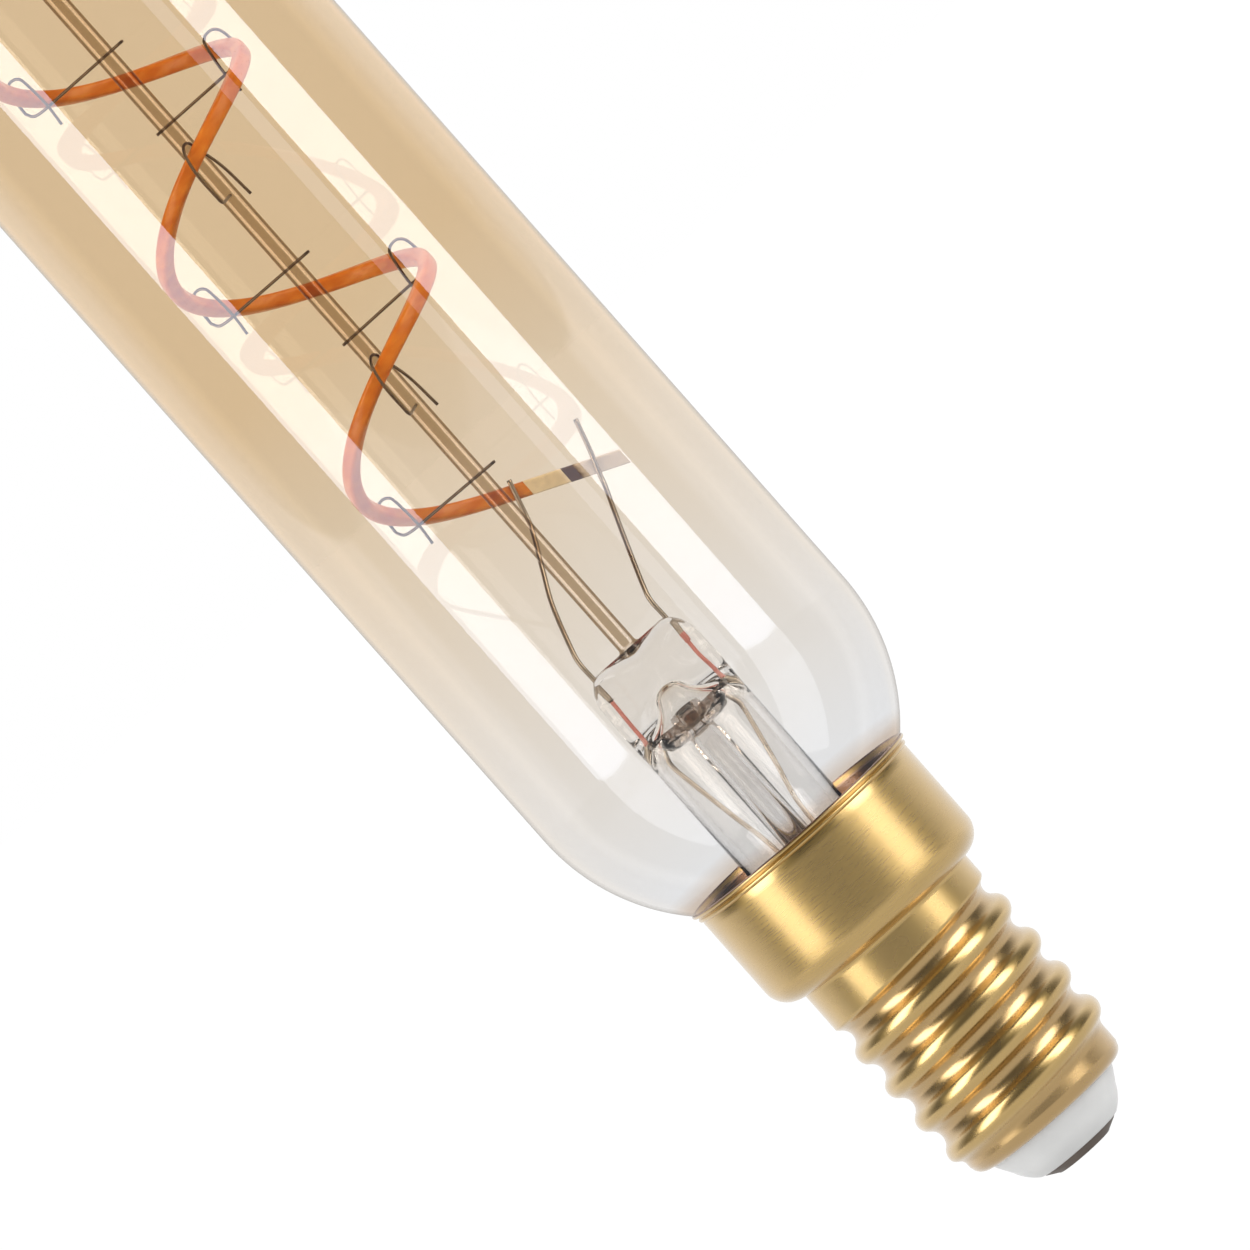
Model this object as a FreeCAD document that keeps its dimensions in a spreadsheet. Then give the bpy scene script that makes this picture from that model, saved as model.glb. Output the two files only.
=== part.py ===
import FreeCAD, Part
import math
import os
import Sketcher

# A tubular lamp with a small screw cap and a spiral light strip inside.
# Millimetres. Z runs up the lamp from the face of the centre contact to the dome,
# X is to the right of the reference view and Y points away from it.

Vector = FreeCAD.Vector

doc = FreeCAD.newDocument("tubular_lamp")

# Driving sizes
SIZES = {
    # envelope
    "overall_length": 185.0,
    "tube_diameter": 25.0,
    "glass_wall": 0.8,
    "shoulder_radius": 14.1,
    "throat_step": 0.84,
    "throat_tuck": 0.29,
    "throat_gap": 0.06,
    "neck_recess": 0.75,
    "neck_clearance": 1.3,
    "seal_width": 1.3,
    "cement_thickness": 0.27,
    "cement_margin": 0.3,
    # cap shell
    "sheet": 0.25,
    "lip_edge": 0.03,
    "lip_foot": 3.2,
    "lip_bend": 0.8,
    "thread_radius": 6.85,
    "thread_depth": 0.77,
    "thread_pitch": 2.822,
    "thread_start": 4.13,
    "thread_margin": 0.15,
    "thread_angle": 40.0,
    "collar_radius": 8.42,
    "collar_shelf": 0.02,
    "collar_foot": 19.0,
    "rim_top": 27.35,
    "rim_flare": 0.33,
    "rim_height": 0.5,
    "seam": 0.02,
    # insulator and centre contact
    "contact_foot_radius": 2.1,
    "contact_radius": 2.92,
    "contact_thickness": 0.56,
    "pin_radius": 0.75,
    "pin_top": 3.0,
    "contact_step": 0.1,
    "pin_cover": 0.3,
    "insulator_waist_radius": 4.3,
    "insulator_waist": 1.96,
    # stem
    "stem_shift": -0.5,
    "stem_radius": 3.93,
    "stem_wall": 0.65,
    "flare_step": 0.55,
    "press_foot": 35.4,
    "press_waist": 38.0,
    "press_top": 42.6,
    "press_width": 7.9,
    "press_thickness": 2.8,
    "press_corner": 1.45,
    "press_dip": 0.42,
    "press_reach": 4.0,
    "pocket_depth": 0.6,
    "pocket_shoulder": 36.2,
    "pocket_mouth": 1.5,
    "blow_width": 2.2,
    "blow_top": 39.4,
    "blow_depth": 0.3,
    "exhaust_radius": 1.03,
    "exhaust_bore": 0.6,
    "exhaust_room": 0.1,
    "exhaust_tip": 20.4,
    # rod, light strip and supports
    "rod_radius": 0.64,
    "rod_collar": 0.22,
    "rod_seat": 0.4,
    "rod_flange": 0.5,
    "dome_room": 13.0,
    "strip_room": 6.0,
    "strip_height": 60.4,
    "strip_over_rod": 0.69,
    "strip_tilt_height": 1.2,
    "strip_width": 1.1,
    "strip_thickness": 1.0,
    "coat_end": 1.9,
    "plate_end": 4.2,
    "tail_end": 7.8,
    "hook_wire": 0.2,
    "hook_gap": 0.35,
    # wires
    "lead_radius": 0.165,
    "seal_radius": 0.12,
    "lead_span": 5.95,
    "lead_joint": 40.8,
    "lead_foot": 37.0,
    "lead_rise": 1.6,
    "lead_bend": 0.9,
    "wire_hole": 35.6,
    "weld": 0.02,
    # driver
    "board_clearance": 1.23,
    "board_thickness": 0.8,
    "board_foot": 5.6,
    "board_top": 19.6,
    "rectifier_width": 4.8,
    "rectifier_height": 3.8,
    "rectifier_depth": 1.5,
    "rectifier_foot": 13.4,
    "chip_width": 4.0,
    "chip_height": 4.8,
    "chip_depth": 1.4,
    "chip_foot": 6.4,
    "capacitor_clearance": 0.63,
    "capacitor_foot": 12.0,
    "capacitor_top": 19.0,
    "resistor_radius": 1.1,
    "resistor_foot": 7.2,
    "resistor_top": 11.6,
    "live_wire": 0.5,
    "live_bend": 0.35,
    "shell_wire": 0.4,
    "shell_wire_foot": 15.0,
    "shell_bend": 0.2,
}

sheet = doc.addObject("Spreadsheet::Sheet", "Sizes")
for row, (word, number) in enumerate(SIZES.items(), start=1):
    sheet.set("A%d" % row, word)
    sheet.set("B%d" % row, repr(number))
    sheet.setAlias("B%d" % row, word)
doc.recompute()


class Dim:
    """A size known both as a number and as the text of an expression on the sheet."""

    def __init__(self, number, text=None):
        self.number = float(number)
        self.text = text if text is not None else repr(float(number))

    def _join(self, other, sign, number):
        return Dim(number, "(%s %s %s)" % (self.text, sign, other.text))

    def __add__(self, other):
        other = dim(other)
        return self._join(other, "+", self.number + other.number)

    def __sub__(self, other):
        other = dim(other)
        return self._join(other, "-", self.number - other.number)

    def __mul__(self, other):
        other = dim(other)
        return self._join(other, "*", self.number * other.number)

    def __truediv__(self, other):
        other = dim(other)
        return self._join(other, "/", self.number / other.number)

    def __rsub__(self, other):
        return dim(other) - self


def dim(value):
    return value if isinstance(value, Dim) else Dim(value)


def size(word):
    return Dim(float(sheet.get(word)), "Sizes.%s" % word)


def number(word):
    return float(sheet.get(word))


def root_of(value):
    return Dim(math.sqrt(value.number), "sqrt(%s)" % value.text)


def plane_of(body, role):
    for feature in body.Origin.OriginFeatures:
        if feature.Role == role:
            return feature
    raise RuntimeError("no plane " + role)


def new_body(label):
    body = doc.addObject("PartDesign::Body", label)
    body.Label = label
    return body


def new_sketch(body, role, name):
    sketch = body.newObject("Sketcher::SketchObject", name)
    sketch.AttachmentSupport = (plane_of(body, role), "")
    sketch.MapMode = "FlatFace"
    return sketch


def outline(sketch, corners):
    """Closed outline. A corner is (x, y) or (x, y, radius, side): the edge that
    leaves it is then an arc of that radius, bulging to the left (1) or right (-1)."""
    corners = [tuple(dim(v) for v in c[:2]) + tuple(c[2:]) for c in corners]
    points = [Vector(c[0].number, c[1].number, 0) for c in corners]
    bound = []
    for i, corner in enumerate(corners):
        a = points[i]
        b = points[(i + 1) % len(points)]
        if len(corner) == 2:
            sketch.addGeometry(Part.LineSegment(a, b), False)
            continue
        radius = dim(corner[2])
        chord = b - a
        left = Vector(-chord.y, chord.x, 0).normalize()
        half = chord.Length / 2
        rise = math.sqrt(max(radius.number ** 2 - half ** 2, 0.0))
        side = corner[3]
        centre = (a + b) * 0.5 - left * (side * rise)
        first, last = (a, b) if side < 0 else (b, a)
        turn = [math.atan2(p.y - centre.y, p.x - centre.x) for p in (first, last)]
        if turn[1] < turn[0]:
            turn[1] += 2 * math.pi
        circle = Part.Circle(centre, Vector(0, 0, 1), radius.number)
        sketch.addGeometry(Part.ArcOfCircle(circle, turn[0], turn[1]), False)
        bound.append((i, radius))
    ends = [(2, 1) if len(c) > 2 and c[3] > 0 else (1, 2) for c in corners]
    rules = []
    driven = []
    for i in range(len(points)):
        j = (i + 1) % len(points)
        rules.append(Sketcher.Constraint("Coincident", i, ends[i][1], j, ends[j][0]))
    for i, corner in enumerate(corners):
        for axis, value in (("DistanceX", corner[0]), ("DistanceY", corner[1])):
            if abs(value.number) < 1e-9:
                other = "Vertical" if axis == "DistanceX" else "Horizontal"
                rules.append(Sketcher.Constraint(other, -1, 1, i, ends[i][0]))
                continue
            driven.append((len(rules), value))
            rules.append(Sketcher.Constraint(axis, -1, 1, i, ends[i][0], value.number))
    for i, radius in bound:
        driven.append((len(rules), radius))
        rules.append(Sketcher.Constraint("Radius", i, radius.number))
    sketch.addConstraint(rules)
    for n, value in driven:
        sketch.setExpression("Constraints[%d]" % n, value.text)


def turned(label, corners):
    """A body turned about Z from a half section given as (radius, height) corners."""
    body = new_body(label)
    sketch = new_sketch(body, "XZ_Plane", label + "_section")
    outline(sketch, corners)
    turn = body.newObject("PartDesign::Revolution", label + "_turn")
    turn.Profile = (sketch, [""])
    turn.ReferenceAxis = (sketch, ["V_Axis"])
    turn.Angle = 360.0
    return body


def padded(label, role, corners, length, reverse=False, symmetric=False):
    """A body padded square to one of its origin planes."""
    body = new_body(label)
    sketch = new_sketch(body, role, label + "_outline")
    outline(sketch, corners)
    pad = body.newObject("PartDesign::Pad", label + "_pad")
    pad.Profile = (sketch, [""])
    pad.setExpression("Length", dim(length).text)
    pad.Midplane = symmetric
    pad.Reversed = reverse
    return body


def boolean(kind, label, pieces):
    result = doc.addObject(kind, label)
    result.Label = label
    if kind == "Part::MultiFuse":
        result.Shapes = pieces
    else:
        result.Base, result.Tool = pieces
    result.Refine = True
    return result


def made(label, shape):
    """A feature whose shape comes from Part's own functions."""
    feature = doc.addObject("Part::Feature", label)
    feature.Label = label
    feature.Shape = shape
    return feature


def shifted(feature):
    """Sets a piece of the stem on the stem's own axis."""
    feature.setExpression("Placement.Base.x", "Sizes.stem_shift")
    return feature


nodes = []

# Cap shell: lip, rolled thread and collar of one pressed sheet
seam = size("seam")
sheet_thickness = size("sheet")
thread_radius = size("thread_radius")
root_radius = thread_radius - size("thread_depth")
lip_foot = size("lip_foot")
lip_bend = size("lip_bend")
lip_top = lip_foot + lip_bend

# The thread's round section is cut into flats between lines that climb as helices, each
# at a fraction of the pitch. One line stands at the radius of the plain neck above.
THREAD_LINES = (0.0, 0.32, 0.5, 0.68, 0.84)
NECK_LINE = 1
THREAD_THIRDS = 13
RUN_IN = 200.0
RUN_OUT = 150.0


def ease(part):
    part = min(1.0, max(0.0, part))
    return part * part * (3 - 2 * part)


def thread_height(fraction):
    """Height of the two-arc section over its root, at a fraction of the pitch."""
    pitch = number("thread_pitch")
    depth = number("thread_depth")
    arc = (pitch ** 2 / 4 + depth ** 2) / (4 * depth)
    reach = abs(fraction - 0.5) * pitch
    if reach < pitch / 4:
        return depth - arc + math.sqrt(arc ** 2 - reach ** 2)
    reach = pitch / 2 - reach
    return arc - math.sqrt(arc ** 2 - reach ** 2)


root_number = number("thread_radius") - number("thread_depth")
neck_number = root_number + thread_height(THREAD_LINES[NECK_LINE])
cap_neck_radius = dim(neck_number) + seam
collar_radius = size("collar_radius")
collar_foot = size("collar_foot")
collar_bend = collar_radius - cap_neck_radius - size("collar_shelf")
collar_inner = collar_radius - sheet_thickness
bore_radius = root_radius - sheet_thickness
lip_hole = bore_radius - lip_bend - size("lip_edge")
rim_top = size("rim_top")
rim_flare = size("rim_flare")
rim_foot = rim_top - size("rim_height")

# Glass envelope: dome, straight tube, shoulder and neck
tube_radius = size("tube_diameter") / 2
wall = size("glass_wall")
dome_height = size("overall_length") - tube_radius
shoulder = size("shoulder_radius")
shoulder_centre = tube_radius - shoulder
neck = collar_inner - size("cement_thickness")
neck_top = rim_top - size("neck_recess")
neck_end = collar_foot + collar_bend + size("neck_clearance")
throat = neck + size("throat_step")
throat_level = rim_top + size("throat_gap")
throat_drop = root_of(shoulder * shoulder - (throat - shoulder_centre) * (throat - shoulder_centre))
shoulder_top = throat_level + throat_drop
inner_shoulder = shoulder - wall
seal_inner = neck - size("seal_width")
inner_dome = tube_radius - wall


def flats(centre, level, radius, first, last, count):
    """Corners along an arc cut into flats, from one angle to another."""
    turns = [math.radians(first + (last - first) * i / count) for i in range(count + 1)]
    return [(centre + radius * math.cos(t), level + radius * math.sin(t)) for t in turns]


inner_turn = math.degrees(math.acos((throat.number - shoulder_centre.number) / shoulder.number)) - 2.5
glass_bulb = turned("glass_bulb", [
    (seal_inner, neck_end),
    (neck, neck_end),
    (neck, neck_top),
    (throat - size("throat_tuck"), throat_level),
    (throat, throat_level, shoulder, -1),
    (tube_radius, shoulder_top),
    (tube_radius, dome_height, tube_radius, -1),
    (0, size("overall_length")),
    (0, dome_height + inner_dome),
] + flats(dim(0), dome_height, inner_dome, 72, 0, 4) + flats(
    shoulder_centre, shoulder_top, inner_shoulder, 0, -inner_turn, 2) + [
    (neck - wall, neck_top),
    (neck - wall, neck_end + wall * 2.5),
])
nodes.append(glass_bulb)


def around(radius, angle, height):
    turn = math.radians(angle)
    return Vector(radius * math.cos(turn), radius * math.sin(turn), height)


def smooth_edge(place, first, last, closeness=0.0001):
    """A curve through points of a formula from one angle to another."""
    count = max(2, round(abs(last - first) / 10))
    curve = Part.BSplineCurve()
    curve.approximate(
        Points=[place(first + (last - first) * i / count) for i in range(count + 1)],
        Parameters=[i / count for i in range(count + 1)],
        DegMin=3, DegMax=8, Tolerance=closeness, Continuity="C2",
    )
    return curve.toShape()


def sewn_solid(faces, tolerance=0.001):
    skin = Part.makeCompound(faces)
    skin.sewShape(tolerance)
    if len(skin.Shells) != 1:
        raise RuntimeError("a skin is in %d shells" % len(skin.Shells))
    solid = Part.makeSolid(skin.Shells[0])
    if solid.Volume < 0:
        solid.reverse()
    return solid


def thread_solid(bottom, top):
    """The threaded length of the cap, filled, between two level faces."""
    pitch = number("thread_pitch")
    root = number("thread_radius") - number("thread_depth")
    neck_radius = root + thread_height(THREAD_LINES[NECK_LINE])
    begin = number("thread_angle")
    lines = len(THREAD_LINES)

    def radius(line, turned_by):
        full = root + thread_height(THREAD_LINES[line]) * ease(turned_by / RUN_IN)
        last = 120.0 * (THREAD_THIRDS + (3 if line <= NECK_LINE else 0))
        return neck_radius + (full - neck_radius) * ease((last - turned_by) / RUN_OUT)

    def height(line, turned_by):
        crest = number("thread_start") + pitch * turned_by / 360
        below = (0.5 - THREAD_LINES[line]) * pitch
        if below > 0:
            below *= 0.06 + 0.94 * ease(turned_by / 240.0)
        return crest - below

    def helix(line, third):
        if line == lines:
            line, third = 0, third + 3
        return smooth_edge(
            lambda angle: around(radius(line, angle), angle + begin, height(line, angle)),
            120.0 * third, 120.0 * third + 120)

    def ring(ring_radius, level, third):
        return smooth_edge(
            lambda angle: around(ring_radius, angle + begin, level),
            120.0 * third, 120.0 * third + 120, 0.000001)

    faces = []
    for line in range(lines):
        for third in range(THREAD_THIRDS + (3 if line < NECK_LINE else 0)):
            faces.append(Part.makeRuledSurface(helix(line, third), helix(line + 1, third)))
    low_ring = [ring(root, bottom, third) for third in range(3)]
    high_ring = [ring(neck_radius, top, THREAD_THIRDS + third) for third in range(3)]
    for third in range(3):
        faces.append(Part.makeRuledSurface(low_ring[third], helix(0, third)))
        faces.append(Part.makeRuledSurface(helix(NECK_LINE, THREAD_THIRDS + third), high_ring[third]))
    faces.append(Part.Face(Part.Wire(low_ring)))
    faces.append(Part.Face(Part.Wire(high_ring)))
    return sewn_solid(faces)


thread_top = number("thread_start") + number("thread_margin")
thread_top += number("thread_pitch") * (THREAD_THIRDS / 3 + 0.5 + THREAD_LINES[NECK_LINE])
cap_thread = made("cap_thread", thread_solid(lip_top.number, thread_top))

# The lip and the neck stand a hair off the thread's own faces
lip_radius = root_radius - seam * 2
cap_lip = turned("cap_lip", [
    (0, lip_foot),
    (lip_radius - lip_bend, lip_foot),
    (lip_radius, lip_top),
    (lip_radius, lip_top + lip_bend),
    (0, lip_top + lip_bend),
])
cap_collar = turned("cap_collar", [
    (0, thread_top),
    (cap_neck_radius, thread_top),
    (cap_neck_radius, collar_foot),
] + flats(collar_radius - collar_bend, collar_foot + collar_bend, collar_bend, -90, 0, 3) + [
    (collar_radius, rim_foot),
    (collar_radius + rim_flare, rim_top),
    (0, rim_top),
])
bend_inner = collar_bend - sheet_thickness
shelf = collar_foot + sheet_thickness
mouth = rim_flare + seam
cap_hollow = turned("cap_hollow", [
    (0, lip_foot - lip_bend),
    (lip_hole, lip_foot - lip_bend),
    (lip_hole, lip_foot + sheet_thickness),
    (bore_radius - lip_bend, lip_foot + sheet_thickness),
    (bore_radius, lip_top),
    (bore_radius, shelf),
    (collar_inner - bend_inner, shelf),
    (collar_inner, shelf + bend_inner),
    (collar_inner, rim_foot),
    (collar_inner + mouth, rim_top + seam),
    (0, rim_top + seam),
])
cap_blank = boolean("Part::MultiFuse", "cap_blank", [cap_thread, cap_lip, cap_collar])
nodes.append(boolean("Part::Cut", "cap_shell", [cap_blank, cap_hollow]))

# Centre contact: a plate with a pin pressed into the insulator
contact_top = size("contact_thickness")
pin_radius = size("pin_radius")
nodes.append(turned("centre_contact", [
    (0, 0),
    (size("contact_foot_radius"), 0),
    (size("contact_radius"), contact_top),
    (pin_radius, contact_top),
    (pin_radius, size("pin_top")),
    (0, size("pin_top")),
]))

# Insulator: glass poured round the pin and inside the lip
lip_inner = lip_foot + sheet_thickness
face_radius = size("contact_radius") + size("contact_step")
waist_radius = size("insulator_waist_radius")
waist = size("insulator_waist")
nodes.append(turned("cap_insulator", [
    (pin_radius, contact_top),
    (face_radius, contact_top),
    (face_radius + (waist_radius - face_radius) * 0.58, contact_top + (waist - contact_top) * 0.43),
    (waist_radius, waist),
    (lip_hole, lip_foot),
    (lip_hole, lip_inner),
    (bore_radius - lip_bend, lip_inner),
    (bore_radius, lip_top),
    (pin_radius, size("pin_top") + size("pin_cover")),
]))

# Cement between the glass neck and the collar
cement_foot = neck_end + size("cement_margin")
cement_top = neck_top - size("cement_margin")
nodes.append(turned("capping_cement", [
    (neck, cement_foot),
    (collar_inner, cement_foot),
    (collar_inner, cement_top),
    (neck, cement_top),
]))

# Stem: flare, tube and flat press of one glass, made on the stem's own axis
stem_radius = size("stem_radius")
stem_inner = stem_radius - size("stem_wall")
flare = neck - size("flare_step")
flare_bend = (flare - stem_radius) * 0.585
flare_foot = neck_end - size("stem_wall")
press_foot = size("press_foot")
press_waist = size("press_waist")
press_top = size("press_top")
press_half = size("press_width") / 2
press_thick = size("press_thickness") / 2
press_corner = size("press_corner")
press_dip = size("press_dip")
trumpet = stem_radius + flare_bend * 0.3
stem_glass = turned("stem_glass", [
    (0, flare_foot),
    (flare, flare_foot),
    (flare, neck_end),
    (stem_radius + flare_bend, neck_end),
    (stem_radius, neck_end + flare_bend),
    (stem_radius, press_top + 1),
    (0, press_top + 1),
])


def across(label, corners, length):
    """A block of even section across the press, its outline in the YZ plane."""
    return padded(label, "YZ_Plane", corners, length, symmetric=True)


# The hot tube is pinched between flat jaws: seen from its side it narrows to a plate
flare_reach = flare + 1
jaw_foot = press_foot - size("press_reach")
pinch = across("pinch", [
    (flare_reach, flare_foot - 1),
    (flare_reach, jaw_foot),
    (stem_radius, press_foot),
    (press_thick, press_waist),
    (press_thick, press_top + 2),
    (dim(0) - press_thick, press_top + 2),
    (dim(0) - press_thick, press_waist),
    (dim(0) - stem_radius, press_foot),
    (dim(0) - flare_reach, jaw_foot),
    (dim(0) - flare_reach, flare_foot - 1),
], flare_reach * 2)
pinched = boolean("Part::Common", "pinched", [stem_glass, pinch])
crown_half = stem_radius - press_corner
crown_radius = (crown_half * crown_half + press_dip * press_dip) / (press_dip * 2)
crown_side = stem_radius + seam
crown = padded("press_crown", "XZ_Plane", [
    (dim(0) - flare_reach, flare_foot - 1),
    (flare_reach, flare_foot - 1),
    (flare_reach, press_waist),
    (crown_side, press_waist),
    (crown_side, press_top - press_corner),
    (stem_radius - press_corner * 0.35, press_top - press_corner * 0.3),
    (crown_half, press_top, crown_radius, 1),
    (dim(0) - crown_half, press_top),
    (dim(0) - stem_radius + press_corner * 0.35, press_top - press_corner * 0.3),
    (dim(0) - crown_side, press_top - press_corner),
    (dim(0) - crown_side, press_waist),
    (dim(0) - flare_reach, press_waist),
], flare_reach * 2, symmetric=True)
stem_solid = boolean("Part::Common", "stem_solid", [pinched, crown])

# Hollow of the stem: the tube's bore, narrowed the same way, with the pumping hole
# blown out through the front of the press
pocket_top = press_waist - size("pocket_depth")
exhaust = size("exhaust_radius")
pinch_half = exhaust + size("exhaust_room")
stem_bore = turned("stem_bore", [
    (0, flare_foot - 1),
    (trumpet, flare_foot - 1),
    (trumpet, flare_foot),
    (stem_inner, neck_end + flare_bend),
    (stem_inner, size("pocket_shoulder")),
    (size("pocket_mouth"), pocket_top),
    (0, pocket_top),
])
bore_pinch = across("bore_pinch", [
    (flare_reach, flare_foot - 2),
    (flare_reach, jaw_foot),
    (stem_inner, press_foot),
    (pinch_half, pocket_top + seam),
    (dim(0) - pinch_half, pocket_top + seam),
    (dim(0) - stem_inner, press_foot),
    (dim(0) - flare_reach, jaw_foot),
    (dim(0) - flare_reach, flare_foot - 2),
], flare_reach * 2)
pocket = boolean("Part::Common", "pocket", [stem_bore, bore_pinch])
blow_half = size("blow_width") / 2
blow_radius = blow_half * 1.2
blow_shoulder = size("blow_top") - blow_radius + root_of(blow_radius * blow_radius - blow_half * blow_half)
arch = padded("blow_arch", "XZ_Plane", [
    (dim(0) - blow_half, pocket_top - blow_half * 0.4),
    (blow_half, pocket_top - blow_half * 0.4),
    (blow_half, blow_shoulder, blow_radius, -1),
    (dim(0) - blow_half, blow_shoulder),
], press_thick + size("blow_depth"))

lead_radius = number("lead_radius")
half_span = size("lead_span") / 2


def section_ring(centre, direction, radius, sides):
    """Corners of a flat-sided wire's section, square to its run."""
    aside = Vector(0, 0, 1) if abs(direction.z) < 0.8 else Vector(1, 0, 0)
    level = aside.cross(direction).normalize()
    rise = direction.cross(level).normalize()
    corners = []
    for i in range(sides):
        turn = math.radians(360.0 * (i + 0.5) / sides)
        corners.append(centre + level * (radius * math.cos(turn)) + rise * (radius * math.sin(turn)))
    return corners


def mitred_wire(points, radius, sides):
    """A wire along straight runs, mitred where they meet."""
    runs = [(b - a).normalize() for a, b in zip(points, points[1:])]
    rings = [section_ring(points[0], runs[0], radius, sides)]
    for i in range(1, len(points)):
        run = runs[i - 1]
        square = run if i == len(points) - 1 else (run + runs[i]).normalize()
        rings.append([
            corner + run * ((points[i] - corner).dot(square) / run.dot(square)) for corner in rings[-1]])
    faces = [Part.Face(Part.makePolygon(ring + ring[:1])) for ring in (rings[0], rings[-1])]
    for low, high in zip(rings, rings[1:]):
        for i in range(sides):
            j = (i + 1) % sides
            faces.append(Part.Face(Part.makePolygon([low[i], low[j], high[j], high[i], low[i]])))
    return sewn_solid(faces)


def eased_path(points, reach):
    """Runs with each inner corner cut into two small turns."""
    path = [points[0]]
    for before, corner, after in zip(points, points[1:], points[2:]):
        path.append(corner + (before - corner).normalize() * reach)
        path.append(corner + (after - corner).normalize() * reach)
    path.append(points[-1])
    return path


def lead_wire(points, reach, radius):
    return mitred_wire(eased_path(points, reach), radius, LEAD_SIDES)


LEAD_SIDES = 8
HOOK_SIDES = 4

# The strip's turns are spread over the length of the rod, three supports to a turn
SUPPORTS = 20
STRIP_START = 90
THIRD_TURN = 120
strip_radius = tube_radius.number - number("strip_room")
rod_top = size("overall_length") - size("dome_room")
strip_turns = (STRIP_START + THIRD_TURN * SUPPORTS - 180) / 360
strip_pitch = (rod_top.number + number("strip_over_rod") - number("strip_height")) / strip_turns


def strip_level(angle):
    """Height of the strip's middle line: its climb and the slight tilt of every turn."""
    climb = strip_pitch * (angle - 180) / 360
    return number("strip_height") + climb - number("strip_tilt_height") * math.sin(math.radians(angle))


# Supply wires on each side: outer lead, seal wire in the press and inner lead
half = half_span.number
joint = number("lead_joint")
foot = number("lead_foot")
hole = number("wire_hole")
board_end = number("board_top")
strip_inner = strip_radius - number("strip_thickness") / 2
touch = strip_inner - lead_radius * math.cos(math.pi / LEAD_SIDES) + number("weld")
free = press_top.number + number("lead_rise")
strip_foot = strip_level(STRIP_START)
climb = strip_foot - free
fall = hole - board_end
width = number("strip_width")
inner_lead = {
    "left": [
        Vector(-half, 0, joint),
        Vector(-half, 0, free),
        Vector(-0.62 * half, 0.39 * touch, free + 0.32 * climb),
        Vector(0.2 * half, touch, strip_foot - 2.3 * width),
        Vector(0.44 * half, touch, strip_foot + 0.35 * width),
    ],
    "right": [
        Vector(half, 0, joint),
        Vector(half, 0, free),
        Vector(1.41 * half, 0.44 * touch, free + 0.3 * climb),
        Vector(1.92 * half, touch, strip_foot - 3.3 * width),
        Vector(2.35 * half, touch, strip_foot + 0.45 * width),
    ],
}
outer_lead = {
    "left": [
        Vector(-half, 0, foot),
        Vector(-half, 0, hole),
        Vector(-0.5 * half, 0, board_end + 0.5 * fall),
        Vector(-0.44 * half, 0, board_end),
    ],
    "right": [
        Vector(half, 0, foot),
        Vector(half, 0, hole),
        Vector(0.5 * half, 0, board_end + 0.56 * fall),
        Vector(0.47 * half, 0, board_end),
    ],
}
hole_steps = [
    (lead_radius, hole, foot),
    (number("seal_radius"), foot, joint),
    (lead_radius, joint, free),
]
rod_foot = size("rod_radius") + size("rod_collar")
rod_level = press_top - press_dip
rod_base = rod_level - size("rod_seat")
rod_seat = turned("rod_seat", [
    (0, rod_base),
    (rod_foot, rod_base),
    (rod_foot, press_top + rod_foot),
    (0, press_top + rod_foot),
])
wire_holes = []
for x in (-half, half):
    for radius, low, high in hole_steps:
        wire_holes.append(lead_wire([Vector(x, 0, low), Vector(x, 0, high)], 0, radius))
stem_holes = made("stem_holes", wire_holes[0].fuse(wire_holes[1:]))
stem_cavity = boolean("Part::MultiFuse", "stem_cavity", [pocket, arch, stem_holes, rod_seat])
nodes.append(shifted(boolean("Part::Cut", "stem", [stem_solid, stem_cavity])))

bend = number("lead_bend")
for side, sign in (("left", -1), ("right", 1)):
    nodes.append(shifted(made("inner_lead_" + side, lead_wire(inner_lead[side], bend, lead_radius))))
    seal = [Vector(sign * half, 0, foot), Vector(sign * half, 0, joint)]
    nodes.append(shifted(made("seal_wire_" + side, lead_wire(seal, 0, number("seal_radius")))))
    nodes.append(shifted(made("outer_lead_" + side, lead_wire(outer_lead[side], bend, lead_radius))))

# Exhaust tube, open into the press and melted shut at its lower tip
tip = size("exhaust_tip")
nodes.append(shifted(turned("exhaust_tube", [
    (0, tip),
    (exhaust * 0.5, tip),
    (exhaust, tip + exhaust),
    (exhaust, pocket_top),
    (size("exhaust_bore"), pocket_top),
    (size("exhaust_bore"), tip + exhaust),
    (0, tip + exhaust),
])))

# Supports: a wire through the rod, out under the light strip and round it
HOOK_ANGLES = (147.0, 265.0, 385.0)
HOOK_DROPS = (1.24, 3.0, 1.29)
HOOK_STUBS = (1.05, 0.3, 0.3)
HOOK_CROWNS = (2.7, 4.3, 2.7)
HOOK_SWINGS = (0.35, 1.6, 0.35)
rod_radius = number("rod_radius")


def hook_points(index):
    """Runs of one support from its stub to its tail: out, up, over and down inside."""
    stub = HOOK_STUBS[index % 3] + rod_radius
    crown = HOOK_CROWNS[index % 3]
    swing = HOOK_SWINGS[index % 3]
    low = crown - 2.2
    inner = strip_inner - number("hook_gap") + 0.1
    outer = strip_inner + number("strip_thickness") + number("hook_gap")
    return [
        (-stub, 0.0, 0.0),
        (inner + 0.3, 0.0, 0.0),
        (outer - 0.15, 0.0, 0.25),
        (outer, 0.0, low),
        (outer - 0.15, swing * 0.14, crown - 0.6),
        (strip_radius - 0.05 - swing * 0.14, swing * 0.4, crown),
        (inner, swing * 0.57, crown - 0.5),
        (inner - 0.25, swing * 0.86, low - 0.3),
        (inner - 0.15, swing, -0.7 if swing > 1 else -1.4),
    ]


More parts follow.
